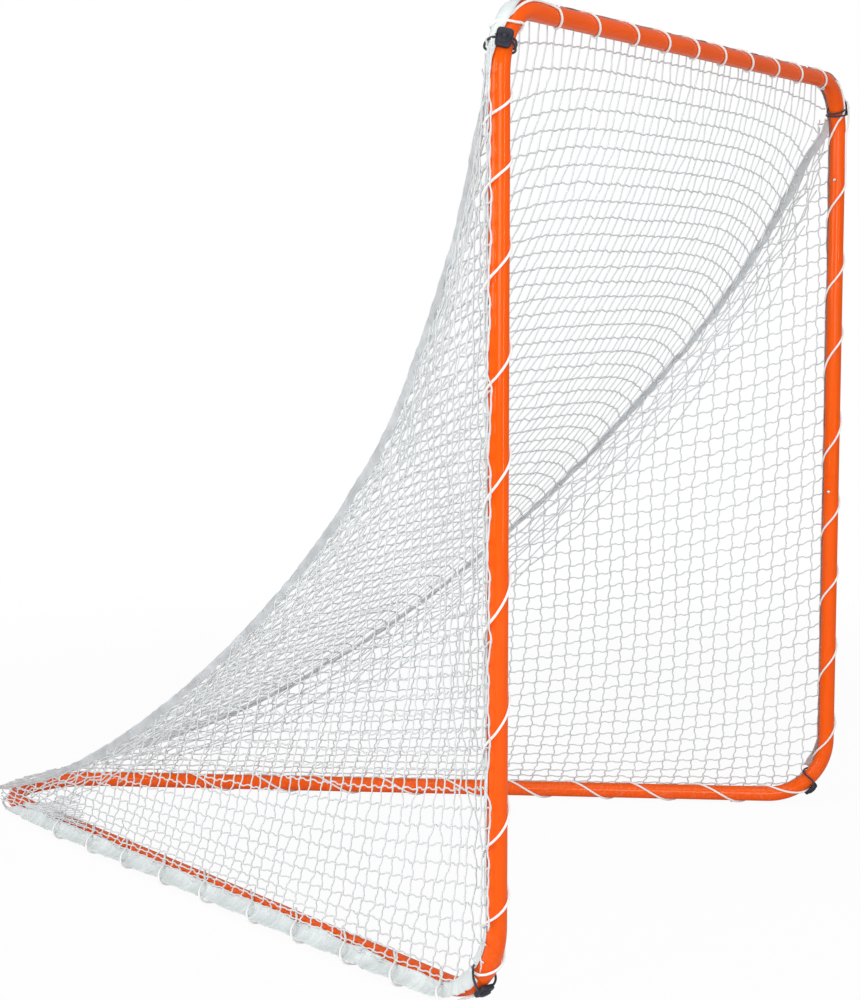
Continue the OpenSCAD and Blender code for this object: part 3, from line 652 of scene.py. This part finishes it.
side_lines = 58
fine = 1800
for side, flip, seed in (("left", 1.0, 21), ("right", -1.0, 22)):
    side_dice = np.random.default_rng(seed)
    strays = [side_dice.normal(0, 1, (64, 64)) for _ in range(3)]
    strands = []
    every = np.linspace(0, side_lines, fine)
    for line in range(0, side_lines):
        for upright, size in ((True, 0.0026), (False, 0.0030)):
            points, out, y, z = side_strand(line, every, 0.0, upright, strays)
            for first, last in stretches(within_side(points, y, z)):
                at, radii = index_line(every[first], every[last])
                points, out, y, z = side_strand(line, at, bow(at, line, size), upright, strays)
                strands.append((points, radii, out))
    strands += drawn_in(side_dice, side == "left")
    to_side = [flip, 1, 1]
    strands = [(points * to_side, radii, out * to_side) for points, radii, out in strands]
    net_side = tube_along(strands, "net_side_twine_" + side, 5)
    net_side.data.materials.append(white_twine)
    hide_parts("net_side_" + side)
    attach(net_side, "goal")


# ---------------------------------------------------------------- bands
# Woven polyester tape is sewn round the net's edges. Along the crossbar, posts and
# legs it lies round the outside of the tube, drawn in by every turn of the lacing.
bar_stop = half_w - top_bend
post_start = bar_stop + top_bend * math.pi / 2
foot_start = post_start + bar_z - leg_z - top_bend - foot_bend
leg_start = foot_start + foot_bend * math.pi / 2
rear_start = leg_start + leg_end - foot_bend
top_corner_at = np.array([-bar_stop, 0, bar_z - top_bend])
bar_tilt = math.radians(6)
bar_out = np.array([0, math.cos(bar_tilt), math.sin(bar_tilt)])
mirrored = np.array([-1, 1, 1])


def frame_place(s):
    """The tube s along the frame, leftwards from the crossbar's middle: its axis, its
    direction, its outer side and the side square to that."""
    far = abs(s)
    if far <= bar_stop:
        c, t, n = np.array([-far, 0, bar_z]), np.array([-1.0, 0, 0]), bar_out
    elif far <= post_start:
        a = (far - bar_stop) / top_bend
        c = top_corner_at + top_bend * np.array([-math.sin(a), 0, math.cos(a)])
        t = np.array([-math.cos(a), 0, -math.sin(a)])
        n = bar_out * (1 - a * 2 / math.pi) + front_out * a * 2 / math.pi
    elif far <= foot_start:
        c = np.array([-half_w, 0, bar_z - top_bend - (far - post_start)])
        t, n = -up, front_out
    elif far <= leg_start:
        a = (far - foot_start) / foot_bend
        c = corner_at - (leg_dir * math.cos(a) + up * math.sin(a)) * foot_bend
        t = leg_dir * math.sin(a) - up * math.cos(a)
        n = front_out * (1 - a * 2 / math.pi) + rear_out * a * 2 / math.pi
    elif far <= rear_start:
        c, t, n = foot + leg_dir * (foot_bend + far - leg_start), leg_dir, rear_out
    else:
        a = (far - rear_start) / rear_bend
        t = leg_dir * math.cos(a) - leg_out * math.sin(a)
        n = leg_out * math.cos(a) + leg_dir * math.sin(a)
        c = np.array([0, rear_centre_y, leg_z]) + n * rear_bend
        n = n * math.cos(side_tilt) + up * math.sin(side_tilt)
    n = unit(n - t * (n @ t))
    if s < 0:
        c, t, n = c * mirrored, -t * mirrored, n * mirrored
    return c, t, n, np.cross(t, n)


def height_station(z):
    """Station of a height on the left post or its lower bend."""
    if z > leg_z + foot_bend:
        return post_start + bar_z - top_bend - z
    return foot_start + foot_bend * math.asin(1 - (z - leg_z) / foot_bend)


def leg_station(distance):
    """Station of a distance along the left leg from the post's foot."""
    return leg_start + distance - foot_bend


def cloth_strip(name, rows, thickness):
    """A closed strip of cloth. Each row is the points across it; rows follow its length."""
    rows = np.asarray(rows)
    count, across = rows.shape[:2]
    out = unit(np.cross(np.gradient(rows, axis=0), np.gradient(rows, axis=1)))
    thin = np.full(across, thickness / 2)
    thin[0] = thin[-1] = thickness / 4
    face, back = rows + out * thin[None, :, None], rows - out * thin[None, :, None]
    ring = np.concatenate([face, back[:, ::-1]], axis=1)
    around = 2 * across
    quads, i, j = between_rings(count, around)
    caps = []
    for first, flip in ((0, True), ((count - 1) * around, False)):
        for j0 in range(across - 1):
            cap = [first + j0, first + j0 + 1, first + around - 2 - j0, first + around - 1 - j0]
            caps.append(cap[::-1] if flip else cap)
    made = bpy.data.meshes.new(name)
    made.from_pydata(ring.reshape(-1, 3).tolist(), [], quads.tolist() + caps)
    lay = made.uv_layers.new(name="along_across")
    run, wide = run_along(rows[:, across // 2]), run_along(rows[count // 2])
    v = np.concatenate([wide, wide[::-1]])
    loop_vert = np.zeros(len(made.loops), np.int32)
    made.loops.foreach_get("vertex_index", loop_vert)
    uv = np.stack([run[loop_vert // around], v[loop_vert % around]], -1)
    lay.data.foreach_set("uv", uv.astype(np.float32).ravel())
    made.polygons.foreach_set("use_smooth", np.ones(len(made.polygons), bool))
    return placed(name, made)


def mean_width(rows):
    """How wide a strip is across its rows, on average."""
    return np.linalg.norm(np.diff(np.array(rows), axis=1), axis=2).sum(1).mean()


# Shared effect: weave, the over and under of warp and weft on a tape's own lengths
weave, given, result = new_group("woven_tape", [
    ("Threads per metre", "NodeSocketFloat", 900.0)],
    [("Height", "NodeSocketFloat"), ("Gap", "NodeSocketFloat")])
both_ways = node(weave, "ShaderNodeSeparateXYZ",
                 {0: node(weave, "ShaderNodeTexCoord").outputs["UV"]})
threads = [maths(weave, "SINE", maths(weave, "MULTIPLY", maths(
    weave, "MULTIPLY", both_ways.outputs[way], given["Threads per metre"]), 2 * math.pi))
    for way in ("X", "Y")]
over = maths(weave, "MULTIPLY", *threads)
weave.links.new(over, result.inputs["Height"])
weave.links.new(ranged(weave, over, 1.0, 0.0, -1.0, 0.1), result.inputs["Gap"])


def woven(name, colour, shade_colour, light_through):
    """Woven tape: cloudy, threaded, creased, with painted shade in the gaps between threads and in
    the creases, and thin enough for light to come through.
    """
    tape, tree, shader, coords = new_material(name)
    cloud = grouped(tree, tint, Color=colour, Scale=22.0, Amount=0.08)
    cloth = grouped(tree, weave, **{"Threads per metre": 420.0})
    crosswise = node(tree, "ShaderNodeMapping", {"Vector": coords["UV"],
                                                 "Scale": (210.0, 26.0, 1.0)})
    streak = noise(tree, crosswise.outputs[0], 1.0, 4.0)
    crease = curve_of(tree, streak, 0.35, 0.65)
    # Painted shade: the gaps between the threads and the creases are mixed toward the shade colour
    deep = maths(tree, "ADD", cloth["Gap"], maths(tree, "SUBTRACT", 1.0, crease))
    crease_shaded = mixed(tree, maths(tree, "MULTIPLY", deep, 0.15), cloud["Color"], shade_colour)
    skin = bumped(tree, maths(tree, "ADD", cloth["Height"], crease), 0.6, 0.0008)
    join(tree, shader, Base_Color=crease_shaded, Roughness=ranged(tree, streak, 0.6, 0.85), Normal=skin,
         Sheen_Weight=0.15)
    through = node(tree, "ShaderNodeBsdfTranslucent", {"Color": crease_shaded, "Normal": skin})
    surface = [n for n in tree.nodes if n.type == "OUTPUT_MATERIAL"][0]
    tree.links.new(mix_shader(tree, light_through, shader.outputs[0], through.outputs[0]),
                   surface.inputs["Surface"])
    return tape


# The second colour is the painted shade in the tape's gaps and creases.
hem_tape = woven("hem_tape", (0.94, 0.985, 0.98, 1), (0.54, 0.64, 0.64, 1), 0.22)

# Where each turn of lacing crosses its tube, as stations from the bar's middle
bar_turns = [-0.776, -0.601, -0.442, -0.2725, -0.106, 0.050, 0.208, 0.367, 0.554, 0.723]
left_post_turns = [height_station(z) for z in (1.667, 1.554, 1.388, 1.197, 1.003, 0.7655,
                                               0.5455, 0.346, 0.198, 0.094)]
right_post_turns = [height_station(z) for z in (1.561, 1.360, 1.183, 0.940, 0.745, 0.570,
                                                0.371, 0.168)]
left_leg_turns = [leg_station(d) for d in (0.1365, 0.284, 0.4541, 0.6316, 0.8006, 0.997,
                                           1.1708, 1.3456, 1.5104, 1.679)]
right_leg_turns = [leg_station(d) for d in (0.1087, 0.2851, 0.4678, 0.6195, 0.7907, 0.96,
                                            1.13, 1.30, 1.47, 1.64)]


def pinched(s, turns, width=0.030):
    """1 where a turn of lacing draws the band in, falling to 0 either side."""
    return float(np.exp(-((np.asarray(turns) - s) / width) ** 2).max())


def waviness(dice, count, long_wave):
    """A smooth random row of about -1 to 1."""
    knots = max(4, int(count / long_wave))
    rough_row = np.interp(np.linspace(0, knots - 1, count), np.arange(knots),
                          np.clip(dice.normal(0, 0.6, knots), -1.2, 1.2))
    return np.convolve(np.pad(rough_row, 2, mode="edge"), np.full(5, 0.2), mode="valid")


band_thick = 0.0012
band_step = 0.0042
band_points = 12


def leg_row(s, held, w, c, t, n, b):
    """Across a leg's band: over the tube's outer side, then out to the ground. held is how
    far a turn of lacing draws it in, and w are its waves."""
    bend = np.clip((leg_start - s) / 0.10, 0, 1)
    rear = np.clip((s - rear_start + 0.34) / 0.36, 0, 1) ** 1.5
    low = rear ** 4
    top = c + n * (0.0255 - 0.004 * bend) + b * (
        0.0095 + 0.0022 * w[2] + 0.0012 * w[5] + 0.008 * bend - 0.002 * held - 0.024 * low)
    mid = (c + n * (0.0285 + 0.001 * w[3] - 0.003 * bend)
           - b * (0.002 - 0.014 * bend + 0.014 * low))
    swell = (c + n * (0.033 - 0.003 * held + 0.0015 * w[4] - 0.006 * bend)
             - b * (0.013 - 0.012 * bend))
    flare = (0.053 - 0.005 * held + 0.003 * w[0] + 0.003 * w[5] - 0.028 * rear) * (1 - bend)
    flare = flare + 0.020 * bend
    hang = c + n * flare - b * (0.0205 - 0.0015 * held - 0.002 * abs(w[4]) - 0.004 * bend)
    row = []
    for f in np.linspace(0, 1, band_points):
        weights = ((1 - f) ** 3, 3 * f * (1 - f) ** 2, 3 * f * f * (1 - f), f ** 3)
        row.append(sum(g * p for g, p in zip(weights, (top, mid, swell, hang))))
    pleat = 0.0016 * w[6] * np.linspace(0.4, 1, band_points)[:, None]
    row = np.array(row) + (n * 0.6 + b * 0.8) * pleat
    row[:, 2] = np.maximum(row[:, 2], band_thick)
    return row


def tube_row(s, held, w, c, t, n, b):
    """Across the band of the crossbar or a post: an arc round the outside of the tube."""
    far = abs(s)
    turned = np.clip((far - bar_stop + 0.02) / (post_start - bar_stop + 0.04), 0, 1)
    bulge = math.sin(math.pi * turned) ** 2
    first = (-86 + 84 * turned - 52 * bulge) - 5 * w[2] - 4 * w[4] + 6 * held
    last = 34 + 22 * turned + 5 * w[1]
    low = np.clip((far - foot_start) / 0.07, 0, 1)
    first, last = first + 10 * low, last + 26 * low
    row = []
    for f in np.linspace(0, 1, band_points):
        angle = math.radians(first + (last - first) * f)
        swell = math.sin(math.pi * min(f * 1.15, 1)) * (1 - 0.6 * held)
        r = (0.0210 + (0.0040 - 0.0018 * turned) * swell + 0.0009 * w[0] + 0.0007 * w[5]
             + 0.003 * f * f
             + bulge * (0.007 + 0.003 * w[3]) * math.exp(-((f - 0.2) / 0.5) ** 2)
             + 0.012 * low * f)
        row.append(c + (n * math.cos(angle) + b * math.sin(angle)) * r)
    return np.array(row)


for name, s0, s1, row_of, turns, seed in (
        ("band_crossbar", -1.03, 1.03, tube_row, bar_turns, 35),
        ("band_post_left", 1.025, 2.655, tube_row, left_post_turns, 31),
        ("band_post_right", -1.025, -2.655, tube_row, [-t for t in right_post_turns], 32),
        ("band_leg_left", 2.668, 4.768, leg_row, left_leg_turns, 33),
        ("band_leg_right", 2.668, 4.768, leg_row, right_leg_turns, 34)):
    dice = np.random.default_rng(seed)
    count = int(abs(s1 - s0) / band_step)
    waves = [waviness(dice, count + 1, long_wave) for long_wave in (9, 8, 8, 9, 3, 3.5)]
    waves.append(np.clip(dice.normal(0, 0.7, count + 1), -1.4, 1.4))
    rows = []
    for i in range(count + 1):
        s = s0 + (s1 - s0) * i / count
        row = row_of(s, pinched(s, turns), [a[i] for a in waves], *frame_place(s))
        if name == "band_leg_right":
            row = (row * mirrored)[::-1]
        rows.append(row)
    band = cloth_strip(name, rows, band_thick)
    band.data.materials.append(hem_tape)
    wide = mean_width(rows)
    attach(band, "goal")


# ---------------------------------------------------------------- ridge tapes
# Where a side panel meets the back, both are sewn into one folded tape. The pull of
# the net gathers it into fine cross pleats with a fuzzy outer edge.
# The second colour is the painted shade in the tape's gaps and creases.
ridge_tape = woven("ridge_tape", (0.96, 0.97, 0.975, 1), (0.72, 0.75, 0.76, 1), 0.70)
tape_step = 0.0035
tape_thick = 0.0014
for side, flip, seed, start, rolled in (("left", 1, 41, 0.012, 1.0),
                                        ("right", -1, 42, 0.095, 0.5)):
    dice = np.random.default_rng(seed)
    count = int((back_length - 0.04) / tape_step)
    d = np.linspace(start, back_length - 0.03, count + 1)
    y, z = back_yz(d)
    line = np.stack([-ridge_half(d), y - corner_pull(d), z], -1)
    tangent = unit(np.gradient(line, axis=0))
    back_normal = back_out(d, 0.005)
    side_normal = on_side(y, z, np.zeros(count + 1))[1]
    into_back = np.cross(tangent, back_normal)
    into_back *= np.sign(into_back[:, :1])
    into_side = np.cross(tangent, side_normal)
    into_side *= -np.sign((into_side * back_normal).sum(1))[:, None]
    outward = unit(back_normal + side_normal)
    pleat = [waviness(dice, count + 1, 2.2) for _ in range(3)]
    thin = (1 - 0.7 * np.clip((d - back_length + 0.50) / 0.35, 0, 1)
            - 0.6 * np.clip((start + 0.04 - d) / 0.04, 0, 1))
    thin = thin * np.interp(d, [0.2, 1.3], [1.0, rolled])
    slow = [waviness(dice, count + 1, 14) for _ in range(3)]
    rows = []
    for i in range(count + 1):
        row = []
        for f in np.linspace(-1, 1, 15):
            edge = (0.0145 + 0.003 * slow[1 if f < 0 else 2][i] + 0.003 * pleat[1][i]) * thin[i]
            way = into_side[i] if f < 0 else into_back[i]
            crown = 0.0060 * math.exp(-(f / 0.4) ** 2) * thin[i]
            ripple = 0.0026 * pleat[0][i] * (0.4 + abs(f)) + 0.0014 * pleat[2][i]
            lift = (side_normal[i] if f < 0 else back_normal[i]) * (0.0022 + ripple)
            row.append(line[i] + way * abs(f) * edge + outward[i] * crown + lift)
        row = np.array(row) * [flip, 1, 1]
        rows.append(row if flip < 0 else row[::-1])
    tape = cloth_strip("ridge_tape_" + side, rows, tape_thick)
    tape.data.materials.append(ridge_tape)
    wide = mean_width(rows)
    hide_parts("net_seam_" + side)
    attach(tape, "goal")


# ---------------------------------------------------------------- lacing
# One 5 mm braided cord is wound round each tube and through the mesh beside the
# band. Its turns lie close on the steel, cross the front steeply and bow over the band.
lace_r = 0.0025
# The darker groove colour is painted shade between the cord's plies.
white_cord = braided("white_braided_cord", (0.86, 0.86, 0.84, 1), 12.0, 0.06, (180.0, 4.0), 0.3,
                     (0.50, 0.47, 0.42, 1), (0.5, 0.0005), (0.5, 0.72), Sheen_Weight=0.1)


def smoothed(values, width):
    """Values evened out over a width either side of each."""
    kernel = np.hanning(2 * width + 1)
    return np.convolve(np.pad(values, width, mode="edge"), kernel / kernel.sum(), mode="valid")


def wound(turns, front, hand, steep, before=(), after=()):
    """Stations, angles and lifts of a cord that crosses a tube's front at each turn.
    steep is how much of its advance it makes behind the tube. before and after are
    further places at its ends: station, angle from the nearest turn, lift off the tube."""
    turns = np.asarray(turns, float)
    pitch = np.diff(turns)
    count = np.arange(-0.42, len(turns) - 0.56, 0.02)
    at = np.concatenate([[turns[0] - 0.5 * pitch[0]], turns, [turns[-1] + 0.5 * pitch[-1]]])
    s = smoothed(np.interp(count, np.arange(len(turns) + 2) - 1 + np.concatenate(
        [[0.5], np.zeros(len(turns)), [-0.5]]), at), 10)
    s = s - steep * np.median(pitch) * np.sin(2 * math.pi * count) / (2 * math.pi)
    angle = front + hand * 360 * count
    last_turn = front + hand * 360 * (len(turns) - 1)
    keep = ((count > (-0.2 if before else -9))
            & (count < len(turns) - (0.88 if after else -9)))
    knots = ([(a, front + hand * g, high) for a, g, high in before]
             + [(a, g, 0.0) for a, g in zip(s[keep][::5], angle[keep][::5])]
             + [(a, last_turn + hand * g, high) for a, g, high in after])
    knots = np.array(knots)
    path_r = 0.022
    run = run_along(np.stack([knots[:, 0], np.radians(knots[:, 1]) * path_r], -1))
    fine = np.arange(0, run[-1], 0.0022)
    return [smoothed(np.interp(fine, run, knots[:, column]), 4) for column in range(3)]


# From the first turn the crossbar's cord runs round each corner to the clip, and the
# right post's cord starts down the outer edge: station, angle, lift
round_right_corner = [(-1.035, -471, 0), (-1.022, -449, 0), (-1.012, -424, 0), (-0.996, -404, 0),
                      (-0.972, -381, 0), (-0.957, -351, 0), (-0.945, -327, 0), (-0.925, -323, 0),
                      (-0.900, -306, 0), (-0.880, -271, 0.003), (-0.865, -221, 0.003),
                      (-0.850, -166, 0), (-0.835, -116, 0), (-0.819, -72, 0)]
round_left_corner = [(0.731, 42, 0), (0.758, 60, 0), (0.785, 69, 0), (0.8185, 68, 0),
                     (0.844, 69, 0), (0.865, 76, 0), (0.884, 85, 0), (0.896, 91, 0),
                     (0.9186, 114, 0.004), (0.921, 169, 0.006), (0.912, 229, 0.004),
                     (0.902, 289, 0), (0.8905, 362, 0), (0.9107, 422, 0), (0.9152, 454, 0.001),
                     (0.9212, 484, 0.006), (0.9257, 512, 0.008), (0.9275, 530, 0.004)]
down_right_edge = [(0.928, -110, 0.0065), (0.940, -62, 0.0072), (0.968, -59, 0.0076),
                   (0.990, -59, 0.0055), (1.005, -63, 0), (1.050, -66, 0), (1.090, -70, 0)]

for name, turns, front, hand, steep, room, flip, before, after in (
        ("lacing_crossbar", bar_turns, 171, 1, 0.5, 0.0035, 1, round_right_corner,
         round_left_corner),
        ("lacing_post_left", left_post_turns, 290, 1, 0.1, 0.0052, 1, [], []),
        ("lacing_post_right", right_post_turns, 156, -1, 0.1, 0.0052, -1, down_right_edge, []),
        ("lacing_leg_left", left_leg_turns, 19, 1, -0.4, 0.033, 1, [], []),
        ("lacing_leg_right", right_leg_turns, 148, -1, -0.4, 0.033, -1, [], [])):
    points, outs = [], []
    for s, degrees, high in zip(*wound(turns, front, hand, steep, before, after)):
        c, t, n, b = frame_place(s)
        way = n * math.cos(math.radians(degrees)) + b * math.sin(math.radians(degrees))
        centre, wide, power = (-22, 32, 2) if "leg" in name else (0, 58, 4)
        off = abs((degrees - centre + 180) % 360 - 180)
        r = tube_r + lace_r + 0.0003 + room * math.exp(-(off / wide) ** power) + high
        points.append((c + way * r) * [flip, 1, 1])
        outs.append(way * [flip, 1, 1])
    points = np.array(points)
    points[:, 2] = np.maximum(points[:, 2], lace_r * 0.8)
    cord = tube_along([(points, np.full(len(points), lace_r), np.array(outs))],
                      name + "_cord", 10)
    cord.data.materials.append(white_cord)
    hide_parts(name)
    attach(cord, "goal")


# ---------------------------------------------------------------- corner clips
# A moulded black plastic clip sits outside each corner of the frame, with a round
# boss of concentric ribs. It slides out by hand against its elastic.
clip_wide, clip_long = 0.031, 0.038
clip_in = tube_r + 0.0012
black_plastic, tree, shader, coords = new_material("moulded_black_plastic")
base = grouped(tree, tint, Color=(0.017, 0.018, 0.030, 1), Scale=60.0, Amount=0.2)
grain = noise(tree, coords["Object"], 900.0, 3.0)
scuffs = grouped(tree, marks, Scale=40.0, Cover=0.45)
scuffed = mixed(tree, maths(tree, "MULTIPLY", scuffs["Mask"], 0.3), base["Color"],
                (0.10, 0.10, 0.13, 1))
join(tree, shader, Base_Color=scuffed, Roughness=ranged(tree, grain, 0.28, 0.5),
     Normal=bumped(tree, grain, 0.25, 0.0002), Specular_IOR_Level=0.35)

# Each clip's place: its middle on the tube's axis, then out, across and along the tube
top_turn, top_round, foot_round = math.radians(29), math.radians(26), math.radians(50)
top_away = np.array([-math.cos(top_round), 0, math.sin(top_round)])
top_along = np.array([-math.sin(top_round), 0, -math.cos(top_round)])
top_place = top_corner_at + top_bend * top_away
top_out = top_away * math.cos(top_turn) - np.array([0, 1.0, 0]) * math.sin(top_turn)
foot_away = -leg_dir * math.cos(foot_round) - up * math.sin(foot_round)
foot_along = leg_dir * math.sin(foot_round) - up * math.cos(foot_round)
foot_place = corner_at + foot_bend * foot_away
clip_places = [("top_left", 1, top_place, top_out, top_along),
               ("top_right", -1, top_place, top_out, top_along),
               ("bottom_left", 1, foot_place, foot_away, foot_along),
               ("bottom_right", -1, foot_place, foot_away, foot_along)]


def in_place(local, middle, away, along, flip):
    """Points given as (out, across, along) of a clip, in the goal's own space."""
    across = np.cross(along, away)
    local = np.asarray(local, float)
    return ((middle + local[:, :1] * away + local[:, 1:2] * across + local[:, 2:3] * along)
            * [flip, 1, 1])


# The plate's outline as (height, share of its size), then the boss as (height, radius)
outline = [(0.000, 0.90), (0.0000, 0.965), (0.0008, 0.99), (0.0022, 1.0), (0.0066, 0.985),
           (0.0082, 0.955), (0.0090, 0.90), (0.0090, 0.86), (0.0081, 0.83), (0.0080, 0.80)]
ribs = [(0.0080, 0.0128), (0.0080, 0.0121), (0.0118, 0.0114), (0.0125, 0.0108),
        (0.0125, 0.0098), (0.0113, 0.0093), (0.0113, 0.0085), (0.0127, 0.0081),
        (0.0131, 0.0072), (0.0127, 0.0063), (0.0113, 0.0059), (0.0113, 0.0052),
        (0.0129, 0.0048), (0.0135, 0.0038), (0.0135, 0.0008)]
plate_points = []
sides = 64
turn = np.arange(sides) * 2 * math.pi / sides
square = 1 / (np.abs(np.cos(turn)) ** 5 + np.abs(np.sin(turn)) ** 5) ** 0.2
taper = 1 - 0.05 * np.sin(turn)
for height, size in outline:
    for a, sq, tp in zip(turn, square, taper):
        plate_points.append((clip_in + height, math.cos(a) * sq * size * clip_wide / 2 * tp,
                             math.sin(a) * sq * size * clip_long / 2))
for height, r in ribs:
    for a in turn:
        plate_points.append((clip_in + height, math.cos(a) * r, math.sin(a) * r))
layers = len(outline) + len(ribs)
plate_faces = between_rings(layers, sides)[0].tolist()
plate_faces.append(tuple(range(sides))[::-1])
plate_faces.append(tuple(range((layers - 1) * sides, layers * sides)))

for corner, flip, middle, away, along in clip_places:
    clip_data = bpy.data.meshes.new("clip_" + corner + "_moulding")
    faces = plate_faces if flip > 0 else [face[::-1] for face in plate_faces]
    clip_data.from_pydata(in_place(plate_points, middle, away, along, flip).tolist(), [], faces)
    clip_data.polygons.foreach_set("use_smooth", np.ones(len(faces), bool))
    clip = placed("clip_" + corner + "_moulding", clip_data)
    clip.data.materials.append(black_plastic)
    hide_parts("clip_" + corner)
    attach(clip, "clip_" + corner + "_body")


# ---------------------------------------------------------------- elastics
# A loop of black braided elastic runs from each clip round the tube, twice at the top,
# and through the corner of the net. It stretches when the clip is pulled.
elastic_r = 0.0024
black_elastic = braided("black_braided_elastic", (0.022, 0.020, 0.030, 1), 80.0, 0.25,
                        (320.0, 5.0), 0.5, (0.085, 0.080, 0.10, 1), (0.5, 0.0004), (0.4, 0.65),
                        Specular_IOR_Level=0.3, Sheen_Weight=0.2)

# Each loop as (out, across, along) in millimetres: first the hook round the net's
# corner, then at the top the plain second round
top_loops = [[(23, 9, 1), (22, 16, 1), (17, 25, 3), (8, 31, 8), (-5, 31, 12), (-18, 20, 9),
              (-24, 4, 6), (-21, -12, 5), (-10, -22, 6), (6, -24, 9), (17, -21, 7),
              (22, -15, 3), (23, -8, 1)],
             [(23, 9, -4), (21, 15, -5), (10, 21.5, -6), (-6, 23, -4), (-18, 15, -2),
              (-23.4, 2, -1), (-19, -14, -2), (-7, -22.6, -3), (8, -22.6, -4),
              (19, -18, -4), (23, -8, -4)]]
foot_loops = [[(23, 9, -2), (21, 16, -6), (15, 25, -16), (8, 33, -28), (1, 36, -36),
               (-8, 32, -37), (-18, 20, -28), (-24, 4, -18), (-21, -13, -14),
               (-9, -23, -16), (5, -25, -19), (16, -23, -14), (22, -16, -6), (23, -8, -2)]]


def rounded_loop(corners, count):
    """A closed curve through its places, eased by a Catmull spline."""
    corners = np.array(corners) / 1000
    t = np.linspace(0, len(corners), count, endpoint=False)
    i = t.astype(int)
    f = (t - i)[:, None]
    p = [corners[(i + k) % len(corners)] for k in (-1, 0, 1, 2)]
    return 0.5 * (2 * p[1] + (p[2] - p[0]) * f + (2 * p[0] - 5 * p[1] + 4 * p[2] - p[3]) * f ** 2
                  + (3 * p[1] - p[0] - 3 * p[2] + p[3]) * f ** 3)


for corner, flip, middle, away, along in clip_places:
    lines = []
    for loop in (top_loops if corner.startswith("top") else foot_loops):
        local = rounded_loop(loop, 110)
        local = np.concatenate([local, local[:1]])
        points = in_place(local, middle, away, along, flip)
        points[:, 2] = np.maximum(points[:, 2], elastic_r)
        outs = points - in_place(local * [0, 0, 1], middle, away, along, flip)
        lines.append((points, np.full(len(points), elastic_r), outs))
    elastic = tube_along(lines, "elastic_" + corner + "_loops", 10)
    elastic.data.materials.append(black_elastic)
    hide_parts("elastic_" + corner)
    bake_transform(elastic)
